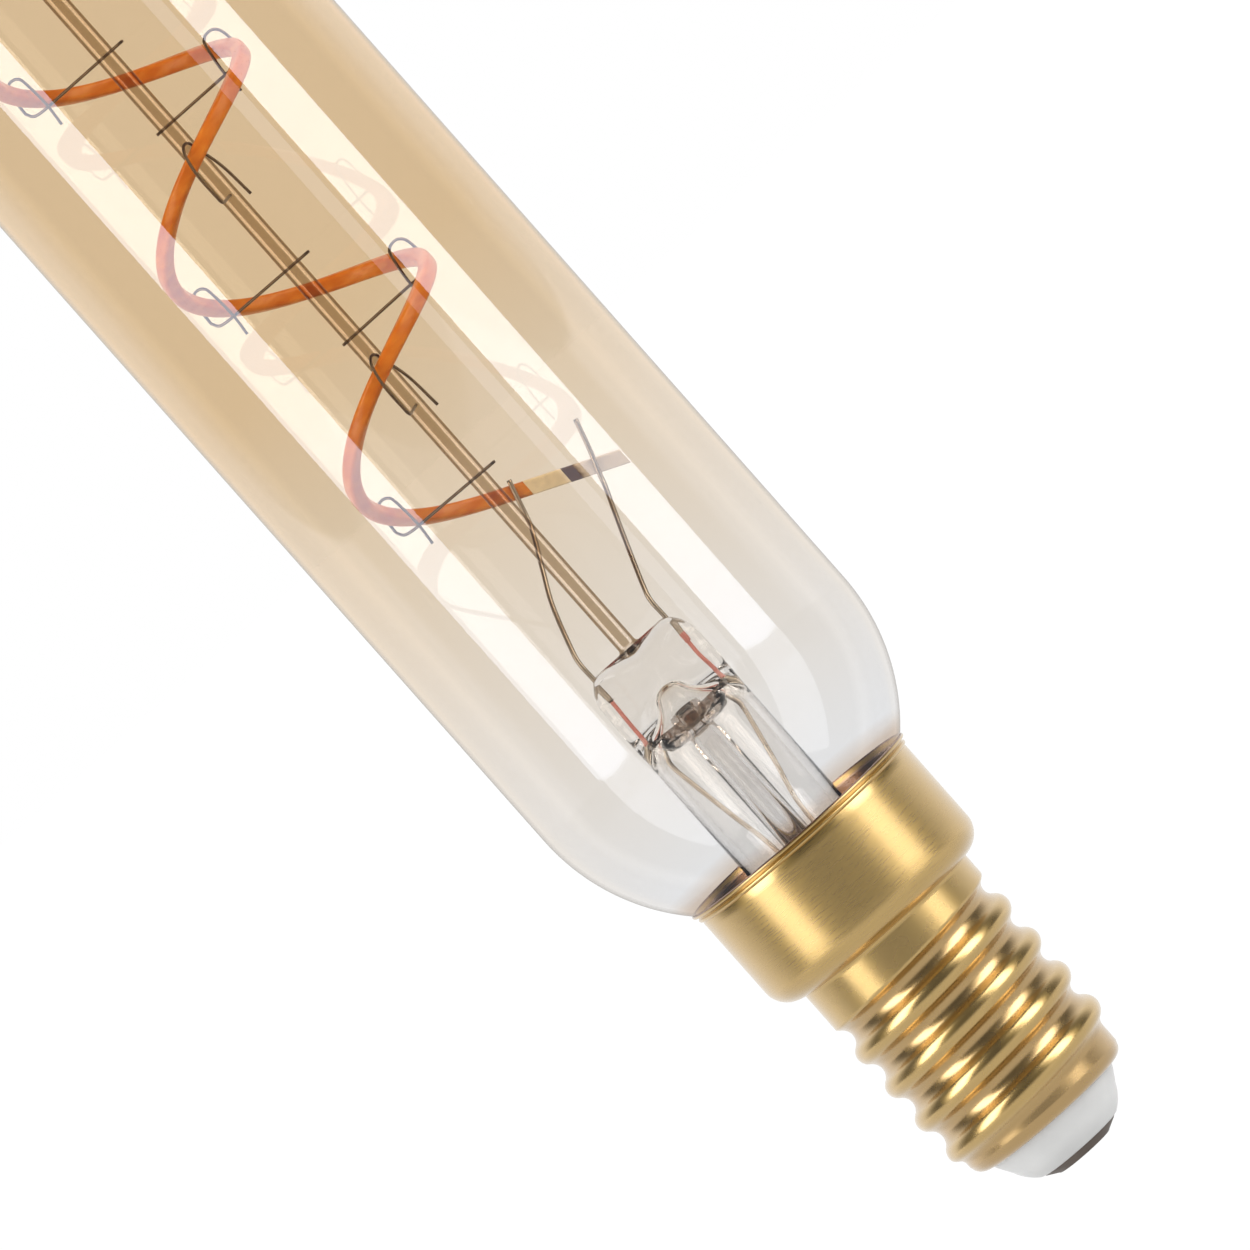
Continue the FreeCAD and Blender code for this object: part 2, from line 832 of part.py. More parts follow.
rod = turned("rod_blank", [
    (0, rod_base),
    (rod_foot, rod_base),
    (rod_foot, rod_level + size("rod_collar")),
    (size("rod_radius"), rod_level + size("rod_flange")),
    (size("rod_radius"), rod_top - size("rod_radius") / 2),
    (size("rod_radius") / 2, rod_top),
    (0, rod_top),
])
hooks = []
holes = []
for index in range(SUPPORTS):
    degrees = HOOK_ANGLES[index % 3] + 360 * (index // 3)
    level = strip_level(degrees) - HOOK_DROPS[index % 3]
    angle = math.radians(degrees)
    along = Vector(math.cos(angle), math.sin(angle), 0)
    beside = Vector(-math.sin(angle), math.cos(angle), 0)
    points = [along * p[0] + beside * p[1] + Vector(0, 0, level + p[2]) for p in hook_points(index)]
    hook = mitred_wire(points, number("hook_wire") / 2, HOOK_SIDES)
    hooks.append(hook)
    reach = rod_radius * 1.5
    ends = [along * -reach + Vector(0, 0, level), along * reach + Vector(0, 0, level)]
    holes.append(mitred_wire(ends, number("hook_wire") / 2, HOOK_SIDES))
rod_holes = made("rod_holes", Part.makeCompound(holes))
nodes.append(shifted(boolean("Part::Cut", "centre_rod", [rod, rod_holes])))
for index, hook in enumerate(hooks, start=1):
    nodes.append(shifted(made("support_hook_%02d" % index, hook)))


# Light strip: a flat-sided band that leaves its lower end straight and climbs as a helix
def strip_corner(radial, axial):
    """Place on one corner of the strip at an angle round the stem."""
    radius = strip_radius + radial * number("strip_thickness") / 2
    lift = axial * number("strip_width") / 2
    return lambda angle: around(radius, angle, strip_level(angle) + lift)


CORNERS = [strip_corner(-1, -1), strip_corner(1, -1), strip_corner(1, 1), strip_corner(-1, 1)]
slope = strip_pitch / (2 * math.pi * strip_radius)


def strip_tail(distance):
    """The four corners on the straight run, at a distance before the helix."""
    return [place(STRIP_START) + Vector(distance, 0, -distance * slope) for place in CORNERS]


def loop(corners):
    return Part.Face(Part.makePolygon(corners + corners[:1]))


def straight_run(near, far):
    """The strip between two distances along its straight run."""
    a, b = strip_tail(near), strip_tail(far)
    faces = [loop(a), loop(b)]
    for i in range(4):
        j = (i + 1) % 4
        faces.append(loop([a[i], a[j], b[j], b[i]]))
    return sewn_solid(faces)


def strip_solid(coated):
    """The coated strip: its straight run and a third of a turn for each support."""
    faces = []
    a, b = strip_tail(coated), strip_tail(0)
    for i in range(4):
        j = (i + 1) % 4
        faces.append(loop([a[i], a[j], b[j], b[i]]))
        for step in range(SUPPORTS):
            first = STRIP_START + THIRD_TURN * step
            one = smooth_edge(CORNERS[i], first, first + THIRD_TURN)
            two = smooth_edge(CORNERS[j], first, first + THIRD_TURN)
            faces.append(Part.makeRuledSurface(one, two))
    last = STRIP_START + THIRD_TURN * SUPPORTS
    faces.append(loop(a))
    faces.append(loop([place(last) for place in CORNERS]))
    return sewn_solid(faces)


coat_end = number("coat_end")
plate_end = number("plate_end")
nodes.append(shifted(made("light_strip", strip_solid(coat_end))))
nodes.append(shifted(made("strip_end_plate", straight_run(coat_end, plate_end))))
nodes.append(shifted(made("strip_end_tail", straight_run(plate_end, number("tail_end")))))

# Driver board and its parts, upright in the cap
board_foot = size("board_foot")
board_top = size("board_top")
board_half = bore_radius - size("board_clearance")
board_face = size("board_thickness") / 2


def box_on_board(name, word, front):
    """A block seated on the middle of the board's front or back face."""
    half_width = size(word + "_width") / 2
    low = size(word + "_foot")
    high = low + size(word + "_height")
    corners = [(dim(0) - half_width, low), (half_width, low), (half_width, high), (dim(0) - half_width, high)]
    body = padded(name, "XZ_Plane", corners, size(word + "_depth"), reverse=not front)
    body.setExpression("Placement.Base.y", "%d * Sizes.board_thickness / 2" % (-1 if front else 1))
    return body


def upright_on_board(name, word, radius, front):
    """A cylinder standing along the board, its side against one face."""
    low, high = size(word + "_foot"), size(word + "_top")
    body = turned(name, [(0, low), (radius, low), (radius, high), (0, high)])
    sign = -1 if front else 1
    offset = "%d * (Sizes.board_thickness / 2 + %s)" % (sign, radius.text)
    body.setExpression("Placement.Base.y", offset)
    return body


nodes.append(padded("driver_board", "XZ_Plane", [
    (dim(0) - board_half, board_foot),
    (board_half, board_foot),
    (board_half, board_top),
    (dim(0) - board_half, board_top),
], size("board_thickness"), symmetric=True))
nodes.append(box_on_board("bridge_rectifier", "rectifier", True))
nodes.append(box_on_board("driver_chip", "chip", False))
capacitor_radius = (bore_radius - board_face - size("capacitor_clearance")) / 2
nodes.append(upright_on_board("smoothing_capacitor", "capacitor", capacitor_radius, False))
nodes.append(upright_on_board("fuse_resistor", "resistor", size("resistor_radius"), True))

# Wires from the board to the contact's pin and to the cap's neck
ahead = board_face.number + number("resistor_radius")
pin_end = number("pin_top")
entry = pin_end + number("resistor_radius")
live = [Vector(0, -ahead, number("resistor_foot")), Vector(0, -ahead, board_foot.number),
        Vector(0, 0, entry), Vector(0, 0, pin_end)]
nodes.append(made("live_wire", lead_wire(live, number("live_bend"), number("live_wire") / 2)))
side = board_half.number
out = (side + bore_radius.number) / 2
solder = (thread_top + shelf.number) / 2
neutral = [Vector(side, 0, number("shell_wire_foot")), Vector(out, 0, number("shell_wire_foot")),
           Vector(out, 0, solder), Vector(bore_radius.number, 0, solder)]
nodes.append(made("shell_wire", lead_wire(neutral, number("shell_bend"), number("shell_wire") / 2)))

doc.recompute()

# Every object must be sound before anything is written
for item in doc.Objects:
    if "Invalid" in item.State or "Error" in item.State:
        raise RuntimeError("%s is %s" % (item.Label, item.State))
for node in nodes:
    shape = node.Shape
    if shape.isNull() or not shape.isValid() or shape.Volume <= 0:
        raise RuntimeError(node.Label + " has no sound shape")

os.makedirs("parts", exist_ok=True)
for node in nodes:
    node.Shape.exportStep("parts/" + node.Label + ".step")
    print("%-22s %9.2f mm3" % (node.Label, node.Shape.Volume))
print(len(nodes), "pieces")
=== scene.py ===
"""A tubular lamp with a gold screw cap, amber glass and a spiral light strip inside.

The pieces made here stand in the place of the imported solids. Z runs up the lamp from its
contact and the front is towards -Y. Pieces are worked out in millimetres and become metres
as each mesh is made. Finishes and the stage are in metres.
"""
import math
from types import SimpleNamespace

import bpy
from mathutils import Matrix, Vector


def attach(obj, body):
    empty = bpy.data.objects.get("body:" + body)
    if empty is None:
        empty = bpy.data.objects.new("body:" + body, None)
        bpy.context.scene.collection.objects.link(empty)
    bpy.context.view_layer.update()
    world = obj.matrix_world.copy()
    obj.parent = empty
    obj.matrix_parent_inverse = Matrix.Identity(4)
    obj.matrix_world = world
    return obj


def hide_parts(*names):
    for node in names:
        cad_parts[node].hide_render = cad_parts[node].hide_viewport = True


bl_info = {
    "name": "Tubular Lamp",
    "version": (1, 0, 0),
    "blender": (4, 5, 0),
    "location": "View3D > Sidebar > Lamp",
    "description": "Builds a tubular screw-cap lamp piece by piece",
    "category": "Add Mesh",
}

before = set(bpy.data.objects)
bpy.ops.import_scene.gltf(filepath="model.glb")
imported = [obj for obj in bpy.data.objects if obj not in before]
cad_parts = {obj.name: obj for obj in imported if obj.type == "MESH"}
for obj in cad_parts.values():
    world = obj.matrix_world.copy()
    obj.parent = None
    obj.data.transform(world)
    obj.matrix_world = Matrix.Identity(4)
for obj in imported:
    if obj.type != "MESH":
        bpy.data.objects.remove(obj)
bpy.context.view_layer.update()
MM = 0.001
ON_AXIS = 1e-6                       # a turned corner nearer the axis than this is on it
SHEET_BEND, SOLID_BEND = 50.0, 60.0  # degrees from which an edge stays sharp
SPIRAL_LEAN = 1.2                    # rise of the spiral at the front, in millimetres
ROD_RADIUS = 0.64                    # of the centre rod, in millimetres
RELIEF = 0.00001                     # depth of fine grain, in metres


# Sizes and colours

def length(name, text, default, low=0.0):
    return bpy.props.FloatProperty(
        name=name, description=text, default=default * MM, min=low, unit="LENGTH", precision=5)


def colour(name, text, red, green, blue):
    return bpy.props.FloatVectorProperty(
        name=name, description=text, default=(red, green, blue), min=0.0, max=1.0,
        size=3, subtype="COLOR")


class LampSizes(bpy.types.PropertyGroup):
    """Sizes of the lamp's pieces."""

    tube_radius: length("Tube radius", "Outside radius of the glass", 12.5)
    glass_wall: length("Glass wall", "Thickness of the glass", 0.8)
    overall_length: length("Overall length", "From the contact to the dome", 185.0)
    shoulder_radius: length("Shoulder radius", "Radius of the shoulder's curve", 14.1)
    shoulder_top: length("Shoulder top", "Height at which the straight tube starts", 37.0)
    throat_radius: length("Throat radius", "Radius of the glass at the rim", 8.74)
    thread_radius: length("Thread radius", "Radius at the crest of the thread", 6.85)
    thread_depth: length("Thread depth", "Depth of the rolled thread", 0.77)
    thread_pitch: length("Thread pitch", "Climb of the thread in a turn", 2.822)
    thread_start: length("Thread start", "Height at which the crest starts", 4.13)
    collar_radius: length("Collar radius", "Outside radius of the collar", 8.42)
    stem_shift: length("Stem shift", "How far the stem stands off the axis", -0.5, -1.0)
    strip_radius: length("Spiral radius", "Radius of the light strip's spiral", 6.5)
    strip_pitch: length("Spiral pitch", "Climb of the light strip in a turn", 17.5)
    strip_height: length("Spiral height", "Height of the light strip at the left", 60.4)
    strip_width: length("Strip width", "Width of the light strip", 1.1)
    strip_thickness: length("Strip thickness", "Thickness of the light strip", 1.0)
    wire: length("Support wire", "Diameter of the support wires", 0.2)
    lead: length("Lead wire", "Diameter of the supply wires", 0.33)


class LampColours(bpy.types.PropertyGroup):
    """Colours of the lamp's finishes."""

    amber: colour("Amber glass", "Coated glass of the tube", 0.887, 0.757, 0.583)
    clear: colour("Clear glass", "Glass at the neck", 0.878, 0.880, 0.884)
    # Painted reflection: the brass below tints the glass just above the rim.
    rim_painted_reflection: colour("Glass by the rim", "Glass that mirrors the brass below it", 0.74, 0.65, 0.57)
    glint: colour("Glass glint", "Colour of the lamps' glints on the glass", 0.74, 0.83, 1.0)
    # The rod's three colours are painted refraction: the brown middle, the pale bands and the dark
    # edges.
    rod: colour("Rod", "Middle of the centre rod", 0.74, 0.66, 0.55)
    rod_painted_bands: colour("Rod bands", "Pale bands of the centre rod", 0.96, 0.91, 0.86)
    rod_painted_outline: colour("Rod edge", "Edge of the centre rod", 0.60, 0.51, 0.40)
    # Painted shade: the dark outline of solid glass seen edge on.
    glass_painted_outline: colour("Glass edge", "Glass looked through along its wall", 0.50, 0.46, 0.43)
    brass: colour("Brass", "Plated cap", 0.60, 0.37, 0.065)
    # Painted shade inside the collar.
    brass_groove_shade: colour("Brass grooves", "Plated cap deep in the thread", 0.46, 0.26, 0.05)
    # Painted shade deep in the thread's grooves.
    inside: colour("Inside of the cap", "Dull brass inside the collar", 0.42, 0.25, 0.12)
    rim_line: colour("Rim line", "Brown line on the rim", 0.22, 0.09, 0.04)
    insulator: colour("Insulator", "Glass at the end of the cap", 0.72, 0.72, 0.71)
    contact: colour("Contact", "Centre contact", 0.16, 0.13, 0.11)
    strip: colour("Strip coat", "Orange coat of the light strip", 0.60, 0.165, 0.01)
    strip_light: colour("Strip streaks", "Paler streaks in the coat", 0.82, 0.33, 0.045)
    plate: colour("End plate", "Bare plate at the strip's end", 0.95, 0.80, 0.55)
    # Dark start of the tail, next to the plate.
    tail: colour("Burnt start of the tail", "Dark part of the strip's tail", 0.12, 0.05, 0.02)
    # Painted reflection: the pale end of the tail, under the lamps' band on the glass.
    tail_painted_reflection: colour("End of the tail", "Bare part of the strip's tail", 0.85, 0.74, 0.62)
    lead: colour("Leads", "Supply wires", 0.44, 0.37, 0.29)
    seal: colour("Seal wires", "Red wires in the press", 0.62, 0.22, 0.17)
    support: colour("Supports", "Fine support wires", 0.17, 0.13, 0.10)
    press: colour("Stem glass", "Glass of the stem and its press", 0.95, 0.94, 0.93)
    melt: colour("Melted joint", "Glass where exhaust tube and press join", 0.42, 0.34, 0.28)
    backdrop: colour("Backdrop", "Floor and background", 1.0, 1.0, 1.0)


def sizes():
    """The lamp's sizes as the scene holds them, in millimetres."""
    group = bpy.context.scene.lamp_sizes
    return SimpleNamespace(**{key: getattr(group, key) / MM for key in group.__annotations__})


def colours():
    """The lamp's colours, as the scene holds them."""
    return bpy.context.scene.lamp_colours


# Meshes

def mesh_piece(name, points, faces):
    """A smooth mesh from corners in millimetres."""
    mesh = bpy.data.meshes.new(name)
    mesh.from_pydata([tuple(c * MM for c in p) for p in points], [], faces)
    mesh.polygons.foreach_set("use_smooth", [True] * len(mesh.polygons))
    mesh.update()
    piece = bpy.data.objects.new(name, mesh)
    bpy.context.scene.collection.objects.link(piece)
    return piece


def dressed(piece, finish, slot, *nodes):
    """Gives a piece its finish and sets it in the place of its solids."""
    piece.data.materials.clear()
    piece.data.materials.append(finish)
    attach(piece, "root")
    if nodes:
        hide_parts(*nodes)


def sharpen(piece, degrees):
    """Keeps hard corners hard in an otherwise smooth piece."""
    limit = math.radians(degrees)
    mesh = piece.data
    normals = [p.normal.copy() for p in mesh.polygons]
    owners = {}
    for face in mesh.polygons:
        for key in face.edge_keys:
            owners.setdefault(key, []).append(face.index)
    for edge in mesh.edges:
        pair = owners.get(edge.key, [])
        if len(pair) == 2 and normals[pair[0]].angle(normals[pair[1]], 0.0) > limit:
            edge.use_edge_sharp = True
    return piece


def ease(part):
    """A smooth step from 0 to 1."""
    part = min(1.0, max(0.0, part))
    return part * part * (3 - 2 * part)


def arc(centre, radius, first, last, count):
    """(radius, height) points along an arc, angles in degrees."""
    turns = [math.radians(first + (last - first) * i / count) for i in range(count + 1)]
    return [(centre[0] + radius * math.cos(t), centre[1] + radius * math.sin(t)) for t in turns]


def lathe(name, section, around, shift=0.0, closed=True):
    """Turns a section of (radius, height) points about the lamp's axis."""
    points, rings = [], []
    for radius, level in section:
        if radius < ON_AXIS:
            rings.append([len(points)] * around)
            points.append((shift, 0.0, level))
            continue
        rings.append(list(range(len(points), len(points) + around)))
        for k in range(around):
            turn = 2 * math.pi * k / around
            points.append((shift + radius * math.cos(turn), radius * math.sin(turn), level))
    faces = []
    last = len(rings) if closed else len(rings) - 1
    for i in range(last):
        low, high = rings[i], rings[(i + 1) % len(rings)]
        for k in range(around):
            n = (k + 1) % around
            corners = []
            for c in (low[k], low[n], high[n], high[k]):
                if c not in corners:
                    corners.append(c)
            if len(corners) > 2:
                faces.append(corners)
    return mesh_piece(name, points, faces)


def loft(name, rings):
    """A skin through rings of the same number of corners, closed at both ends."""
    count = len(rings[0])
    points = [tuple(p) for ring in rings for p in ring]
    faces = []
    for i in range(len(rings) - 1):
        for k in range(count):
            n = (k + 1) % count
            faces.append((i * count + k, i * count + n, (i + 1) * count + n, (i + 1) * count + k))
    faces.append(tuple(reversed(range(count))))
    faces.append(tuple(range((len(rings) - 1) * count, len(rings) * count)))
    return mesh_piece(name, points, faces)


def smooth_path(points, steps):
    """Points on a smooth curve through the given ones."""
    ends = [points[0] * 2 - points[1]] + list(points) + [points[-1] * 2 - points[-2]]
    path = []
    for a, b, c, d in zip(ends, ends[1:], ends[2:], ends[3:]):
        for i in range(steps):
            t = i / steps
            path.append(((b * 2) + (c - a) * t + (a * 2 - b * 5 + c * 4 - d) * t * t
                         + (b * 3 - a - c * 3 + d) * t * t * t) * 0.5)
    path.append(points[-1])
    return path


def wire_rings(path, radius, sides):
    """Round sections along a path, turned as little as possible."""
    rings = []
    side = None
    for i, point in enumerate(path):
        along = (path[min(i + 1, len(path) - 1)] - path[max(i - 1, 0)]).normalized()
        if side is None:
            side = along.orthogonal().normalized()
        side = (side - along * side.dot(along)).normalized()
        up = along.cross(side)
        rings.append([
            point + side * (radius * math.cos(2 * math.pi * k / sides))
            + up * (radius * math.sin(2 * math.pi * k / sides)) for k in range(sides)])
    return rings


def wire(name, points, diameter, sides=12, steps=8):
    """A round wire on a smooth curve through the points."""
    path = smooth_path([Vector(p) for p in points], steps)
    return loft(name, wire_rings(path, diameter / 2, sides))


# Finishes

def feed(links, value, socket):
    """Links a value in where it is a socket, and otherwise sets it."""
    if isinstance(value, bpy.types.NodeSocket):
        links.new(value, socket)
    else:
        socket.default_value = (*value, 1.0) if socket.type == "RGBA" else value


def darker(shade, share):
    return tuple(c * share for c in shade)


class Nodes:
    """A node tree with short ways to add nodes."""

    def __init__(self, tree):
        self.nodes, self.links = tree.nodes, tree.links
        self.place = self.node("ShaderNodeTexCoord").outputs

    def node(self, kind, inputs=(), **settings):
        """Adds a node with its settings, and with what goes into its inputs."""
        node = self.nodes.new(kind)
        for key, value in settings.items():
            setattr(node, key, value)
        for key, value in dict(inputs).items():
            feed(self.links, value, node.inputs[key])
        return node

    def ramp(self, value, stops):
        """A colour ramp with marks: places from 0 to 1, each with a grey or a colour."""
        ramp = self.node("ShaderNodeValToRGB", {"Fac": value})
        marks = ramp.color_ramp.elements
        while len(marks) < len(stops):
            marks.new(0.5)
        for mark, (place, shade) in zip(marks, stops):
            mark.position = place
            mark.color = (*shade, 1.0) if hasattr(shade, "__len__") else (shade, shade, shade, 1.0)
        return ramp.outputs["Color"]

    def spread(self, value, low, high, start=0.0, end=1.0):
        """Maps a value from one range to another."""
        return self.node("ShaderNodeMapRange", {
            "Value": value, "From Min": low, "From Max": high, "To Min": start, "To Max": end,
        }).outputs["Result"]

    def mix(self, factor, a, b, blend="MIX"):
        """Colour b at a factor of 1, colour a at 0."""
        return self.node("ShaderNodeMix", {0: factor, 6: a, 7: b}, data_type="RGBA",
                         blend_type=blend).outputs[2]

    def choose(self, factor, a, b):
        """Number b at a factor of 1, number a at 0."""
        return self.node("ShaderNodeMix", {0: factor, 2: a, 3: b}).outputs[0]

    def math(self, operation, a, b):
        return self.node("ShaderNodeMath", {0: a, 1: b}, operation=operation).outputs[0]

    def axis(self, name, space="Object"):
        """A coordinate, of the lamp in metres or of a direction."""
        return self.node("ShaderNodeSeparateXYZ", {"Vector": self.place[space]}).outputs[name]

    def rays(self, *kinds):
        """1 for rays of the one or two kinds named, 0 for all others."""
        path = self.node("ShaderNodeLightPath").outputs
        found = [path["Is %s Ray" % kind] for kind in kinds]
        return self.math("MAXIMUM", *found) if len(found) > 1 else found[0]


class Finish(Nodes):
    """The nodes of a material, beginning with its main shader."""

    def __init__(self, name):
        self.material = bpy.data.materials.new(name)
        self.material.use_nodes = True
        super().__init__(self.material.node_tree)
        self.shader = self.nodes["Principled BSDF"]
        self.output = self.nodes["Material Output"]

    def set(self, **values):
        """Feeds inputs of the main shader."""
        for key, value in values.items():
            feed(self.links, value, self.shader.inputs[key.replace("_", " ")])

    def noise(self, scale, detail=4.0, stretch=(1, 1, 1), roughness=0.5):
        mapping = self.node("ShaderNodeMapping", {"Vector": self.place["Object"], "Scale": stretch})
        return self.node("ShaderNodeTexNoise", {
            "Vector": mapping.outputs["Vector"], "Scale": scale, "Detail": detail,
            "Roughness": roughness}).outputs["Fac"]

    def vary(self, noise, start=0.0, end=1.0):
        """Maps a noise, most of which lies between 0.3 and 0.7, to a range."""
        return self.spread(noise, 0.3, 0.7, start, end)

    def off_axis(self):
        """Distance from the lamp's axis, in metres."""
        flat = self.node("ShaderNodeCombineXYZ", {"X": self.axis("X"), "Y": self.axis("Y")})
        return self.node("ShaderNodeVectorMath", {0: flat.outputs[0]},
                         operation="LENGTH").outputs["Value"]

    def faced(self):
        """How far a surface is turned away: 0 face on, 1 edge on, the same from both sides."""
        return self.node("ShaderNodeLayerWeight", {"Blend": 0.5}).outputs["Facing"]

    def bump(self, value, depth, strength):
        relief = self.node("ShaderNodeBump", {
            "Height": value, "Distance": depth, "Strength": strength})
        self.set(Normal=relief.outputs["Normal"])

    def end_in(self, shader):
        feed(self.links, shader.outputs[0], self.output.inputs["Surface"])

    def blend(self, share, first, second):
        """Ends the material in two shaders, with a share of the second."""
        self.end_in(self.node("ShaderNodeMixShader", {
            0: share, 1: first.outputs[0], 2: second.outputs[0]}))


def thin_skin(finish, tint, mirror, base, rough):
    """A thin clear skin: tinted light passes straight through and some is mirrored.

    The mirrored share is the base face on and grows towards the edge, where it also turns
    nearly white. Shadow rays and diffuse rays aren't mirrored.
    """
    edge_share, edge_glint, edge_power = 0.6, (1.0, 0.97, 0.94), 5.0
    clear = finish.node("ShaderNodeBsdfTransparent", {"Color": tint})
    graze = finish.math("POWER", finish.faced(), edge_power)
    glint = finish.mix(finish.spread(graze, 0.0, 0.2), mirror, edge_glint)
    gloss = finish.node("ShaderNodeBsdfGlossy", {"Color": glint, "Roughness": rough})
    amount = finish.math("ADD", base, finish.math("MULTIPLY", graze, edge_share))
    soft = finish.rays("Shadow", "Diffuse")
    amount = finish.math("MULTIPLY", amount, finish.math("SUBTRACT", 1.0, soft))
    finish.blend(amount, clear, gloss)
    finish.nodes.remove(finish.shader)
    return finish.material


def inner_glass_face():
    """The inner face of the glass wall lets all light pass, because the outer
    face's tint and shine count for both."""
    finish = Finish("inner_glass_face")
    finish.end_in(finish.node("ShaderNodeBsdfTransparent"))
    finish.nodes.remove(finish.shader)
    return finish.material


def amber_glass():
    """Thin coated glass: amber over the tube, clear towards the cap, with a painted reflection of
    the brass just above the rim and painted light and shade at its edges.
    """
    coat_fade = (0.028, 0.070)
    rim_reflection_band = (0.0276, 0.0286)
    # Painted light and shade by how far the glass turns away: a slightly paler band, then a dark
    # outline edge on.
    painted_edge_tones = [(0.0, 1.0), (0.36, 1.0), (0.42, 1.03), (0.50, 1.0), (0.56, 1.0), (0.78, 1.0),
                  (0.87, 0.82), (0.96, 0.42), (1.0, 0.3)]
    shades = colours()
    finish = Finish("amber_glass")
    cloud = finish.noise(60.0, 2.0)
    level = finish.math("ADD", finish.axis("Z"), finish.vary(cloud, -0.0012, 0.0012))
    tint = finish.mix(finish.spread(level, *coat_fade), shades.clear, shades.amber)
    # Painted reflection of the brass, in a band just above the rim.
    rim_reflection_share = finish.spread(finish.axis("Z"), *rim_reflection_band, 1.0, 0.0)
    tint = finish.mix(rim_reflection_share, tint, shades.rim_painted_reflection)
    # The tint takes the painted edge light and shade.
    tint = finish.mix(1.0, tint, finish.ramp(finish.faced(), painted_edge_tones), "MULTIPLY")
    shine = finish.spread(level, *coat_fade, 0.031, 0.082)
    return thin_skin(finish, tint, shades.glint, shine, 0.02)


def rod_glass():
    """Glass rod inside the amber, its refraction painted by how far it turns away: brown middle,
    pale bands and dark edges.
    """
    shades = colours()
    rod, light, edge = shades.rod, shades.rod_painted_bands, shades.rod_painted_outline
    finish = Finish("rod_glass")
    wave = finish.noise(160.0, 2.0, (1, 1, 0.15))
    side = finish.math("ADD", finish.faced(), finish.vary(wave, -0.02, 0.02))
    # Painted refraction: brown middle, pale refracted bands and dark edges, by how far the rod
    # turns away.
    tint = finish.ramp(side, [(0.0, rod), (0.07, rod), (0.11, light), (0.27, light),
                              (0.36, edge), (1.0, edge)])
    return thin_skin(finish, tint, (1.0, 1.0, 1.0), 0.03, 0.05)


def clear_glass(name, joint=None):
    """Solid glass with a painted dark outline where it is looked through edge on, and browner in
    the joint.

    The joint is the lowest and the highest level of glass that was melted.
    """
    shades = colours()
    finish = Finish(name)
    haze = finish.spread(finish.noise(400.0, 3.0), 0.35, 0.7)
    body = finish.mix(haze, shades.press, darker(shades.press, 0.97))
    # Painted dark outline where the glass is seen edge on.
    tint = finish.mix(finish.spread(finish.faced(), 0.6, 0.98), body, shades.glass_painted_outline)
    if joint:
        low, high = joint
        border = 0.0002
        streak = finish.noise(2500.0, 3.0)
        level = finish.axis("Z")
        melted = finish.math("MULTIPLY", finish.spread(level, low, low + border),
                             finish.spread(level, high, high + border, 1.0, 0.0))
        melted = finish.math("MULTIPLY", melted, finish.spread(streak, 0.35, 0.6, 0.4, 1.0))
        tint = finish.mix(melted, tint, shades.melt)
    finish.set(Base_Color=tint, Roughness=0.0, IOR=1.45, Transmission_Weight=1.0)
    clear = finish.node("ShaderNodeBsdfTransparent", {"Color": tint})
    finish.blend(finish.rays("Shadow", "Diffuse"), finish.shader, clear)
    return finish.material


def metal(name, base, rough, grain=None):
    """Metal with small changes of shade and gloss, and with relief where grain is given."""
    finish = Finish(name)
    mottle = finish.noise(900.0, 4.0)
    shade = finish.mix(finish.spread(mottle, 0.35, 0.7, 0.0, 0.35), base, darker(base, 0.8))
    finish.set(Base_Color=shade, Metallic=1.0,
               Roughness=finish.vary(mottle, rough * 0.85, rough * 1.2))
    if grain:
        finish.bump(finish.noise(grain, 3.0), RELIEF, 0.4)
    return finish.material


def brass_cap():
    """Plated cap: polished thread with painted shade in its grooves, brushed collar, and painted
    shade inside the collar.
    """
    collar_foot = (0.0182, 0.0190)
    thread_top = (0.0185, 0.0178)
    groove_depth = (0.00610, 0.00655)
    rim_line = (0.02722, 0.02730)
    inner_wall, inner_foot = (0.00832, 0.00828), (0.0222, 0.0224)
    shades = colours()
    brass = shades.brass
    finish = Finish("cap_brass")
    level = finish.axis("Z")
    radius = finish.off_axis()
    mottle = finish.noise(700.0, 4.0)
    brushed = finish.noise(2400.0, 3.0, (0.3, 0.3, 4.0), 0.6)
    on_collar = finish.spread(level, *collar_foot)
    # Painted shade in the thread's grooves, by depth below the crest.
    groove_shade = finish.math("MULTIPLY", finish.spread(radius, *groove_depth, 1.0, 0.0),
                         finish.spread(level, *thread_top))
    base = finish.mix(finish.spread(mottle, 0.35, 0.7, 0.0, 0.25), brass, darker(brass, 0.86))
    base = finish.mix(finish.math("MULTIPLY", groove_shade, 0.7), base, shades.brass_groove_shade)
    streak = finish.mix(finish.vary(brushed), (0.95, 0.94, 0.92), (1.03, 1.03, 1.02))
    base = finish.mix(on_collar, base, finish.mix(1.0, base, streak, "MULTIPLY"))
    base = finish.mix(finish.spread(level, *rim_line), base, shades.rim_line)
    # Painted shade inside the collar: the brown takes over within the inner wall and above its
    # foot.
    inside = finish.math("MULTIPLY", finish.spread(radius, *inner_wall),
                         finish.spread(level, *inner_foot))
    smooth = finish.vary(mottle, 0.24, 0.31)
    rough = finish.vary(brushed, 0.25, 0.33)
    finish.set(Base_Color=finish.mix(inside, base, shades.inside), Metallic=1.0,
               Roughness=finish.mix(on_collar, smooth, rough),
               Coat_Weight=1.0, Coat_IOR=2.15, Coat_Roughness=0.25)
    finish.bump(finish.math("MULTIPLY", brushed, on_collar), RELIEF / 10, 0.3)
    return finish.material


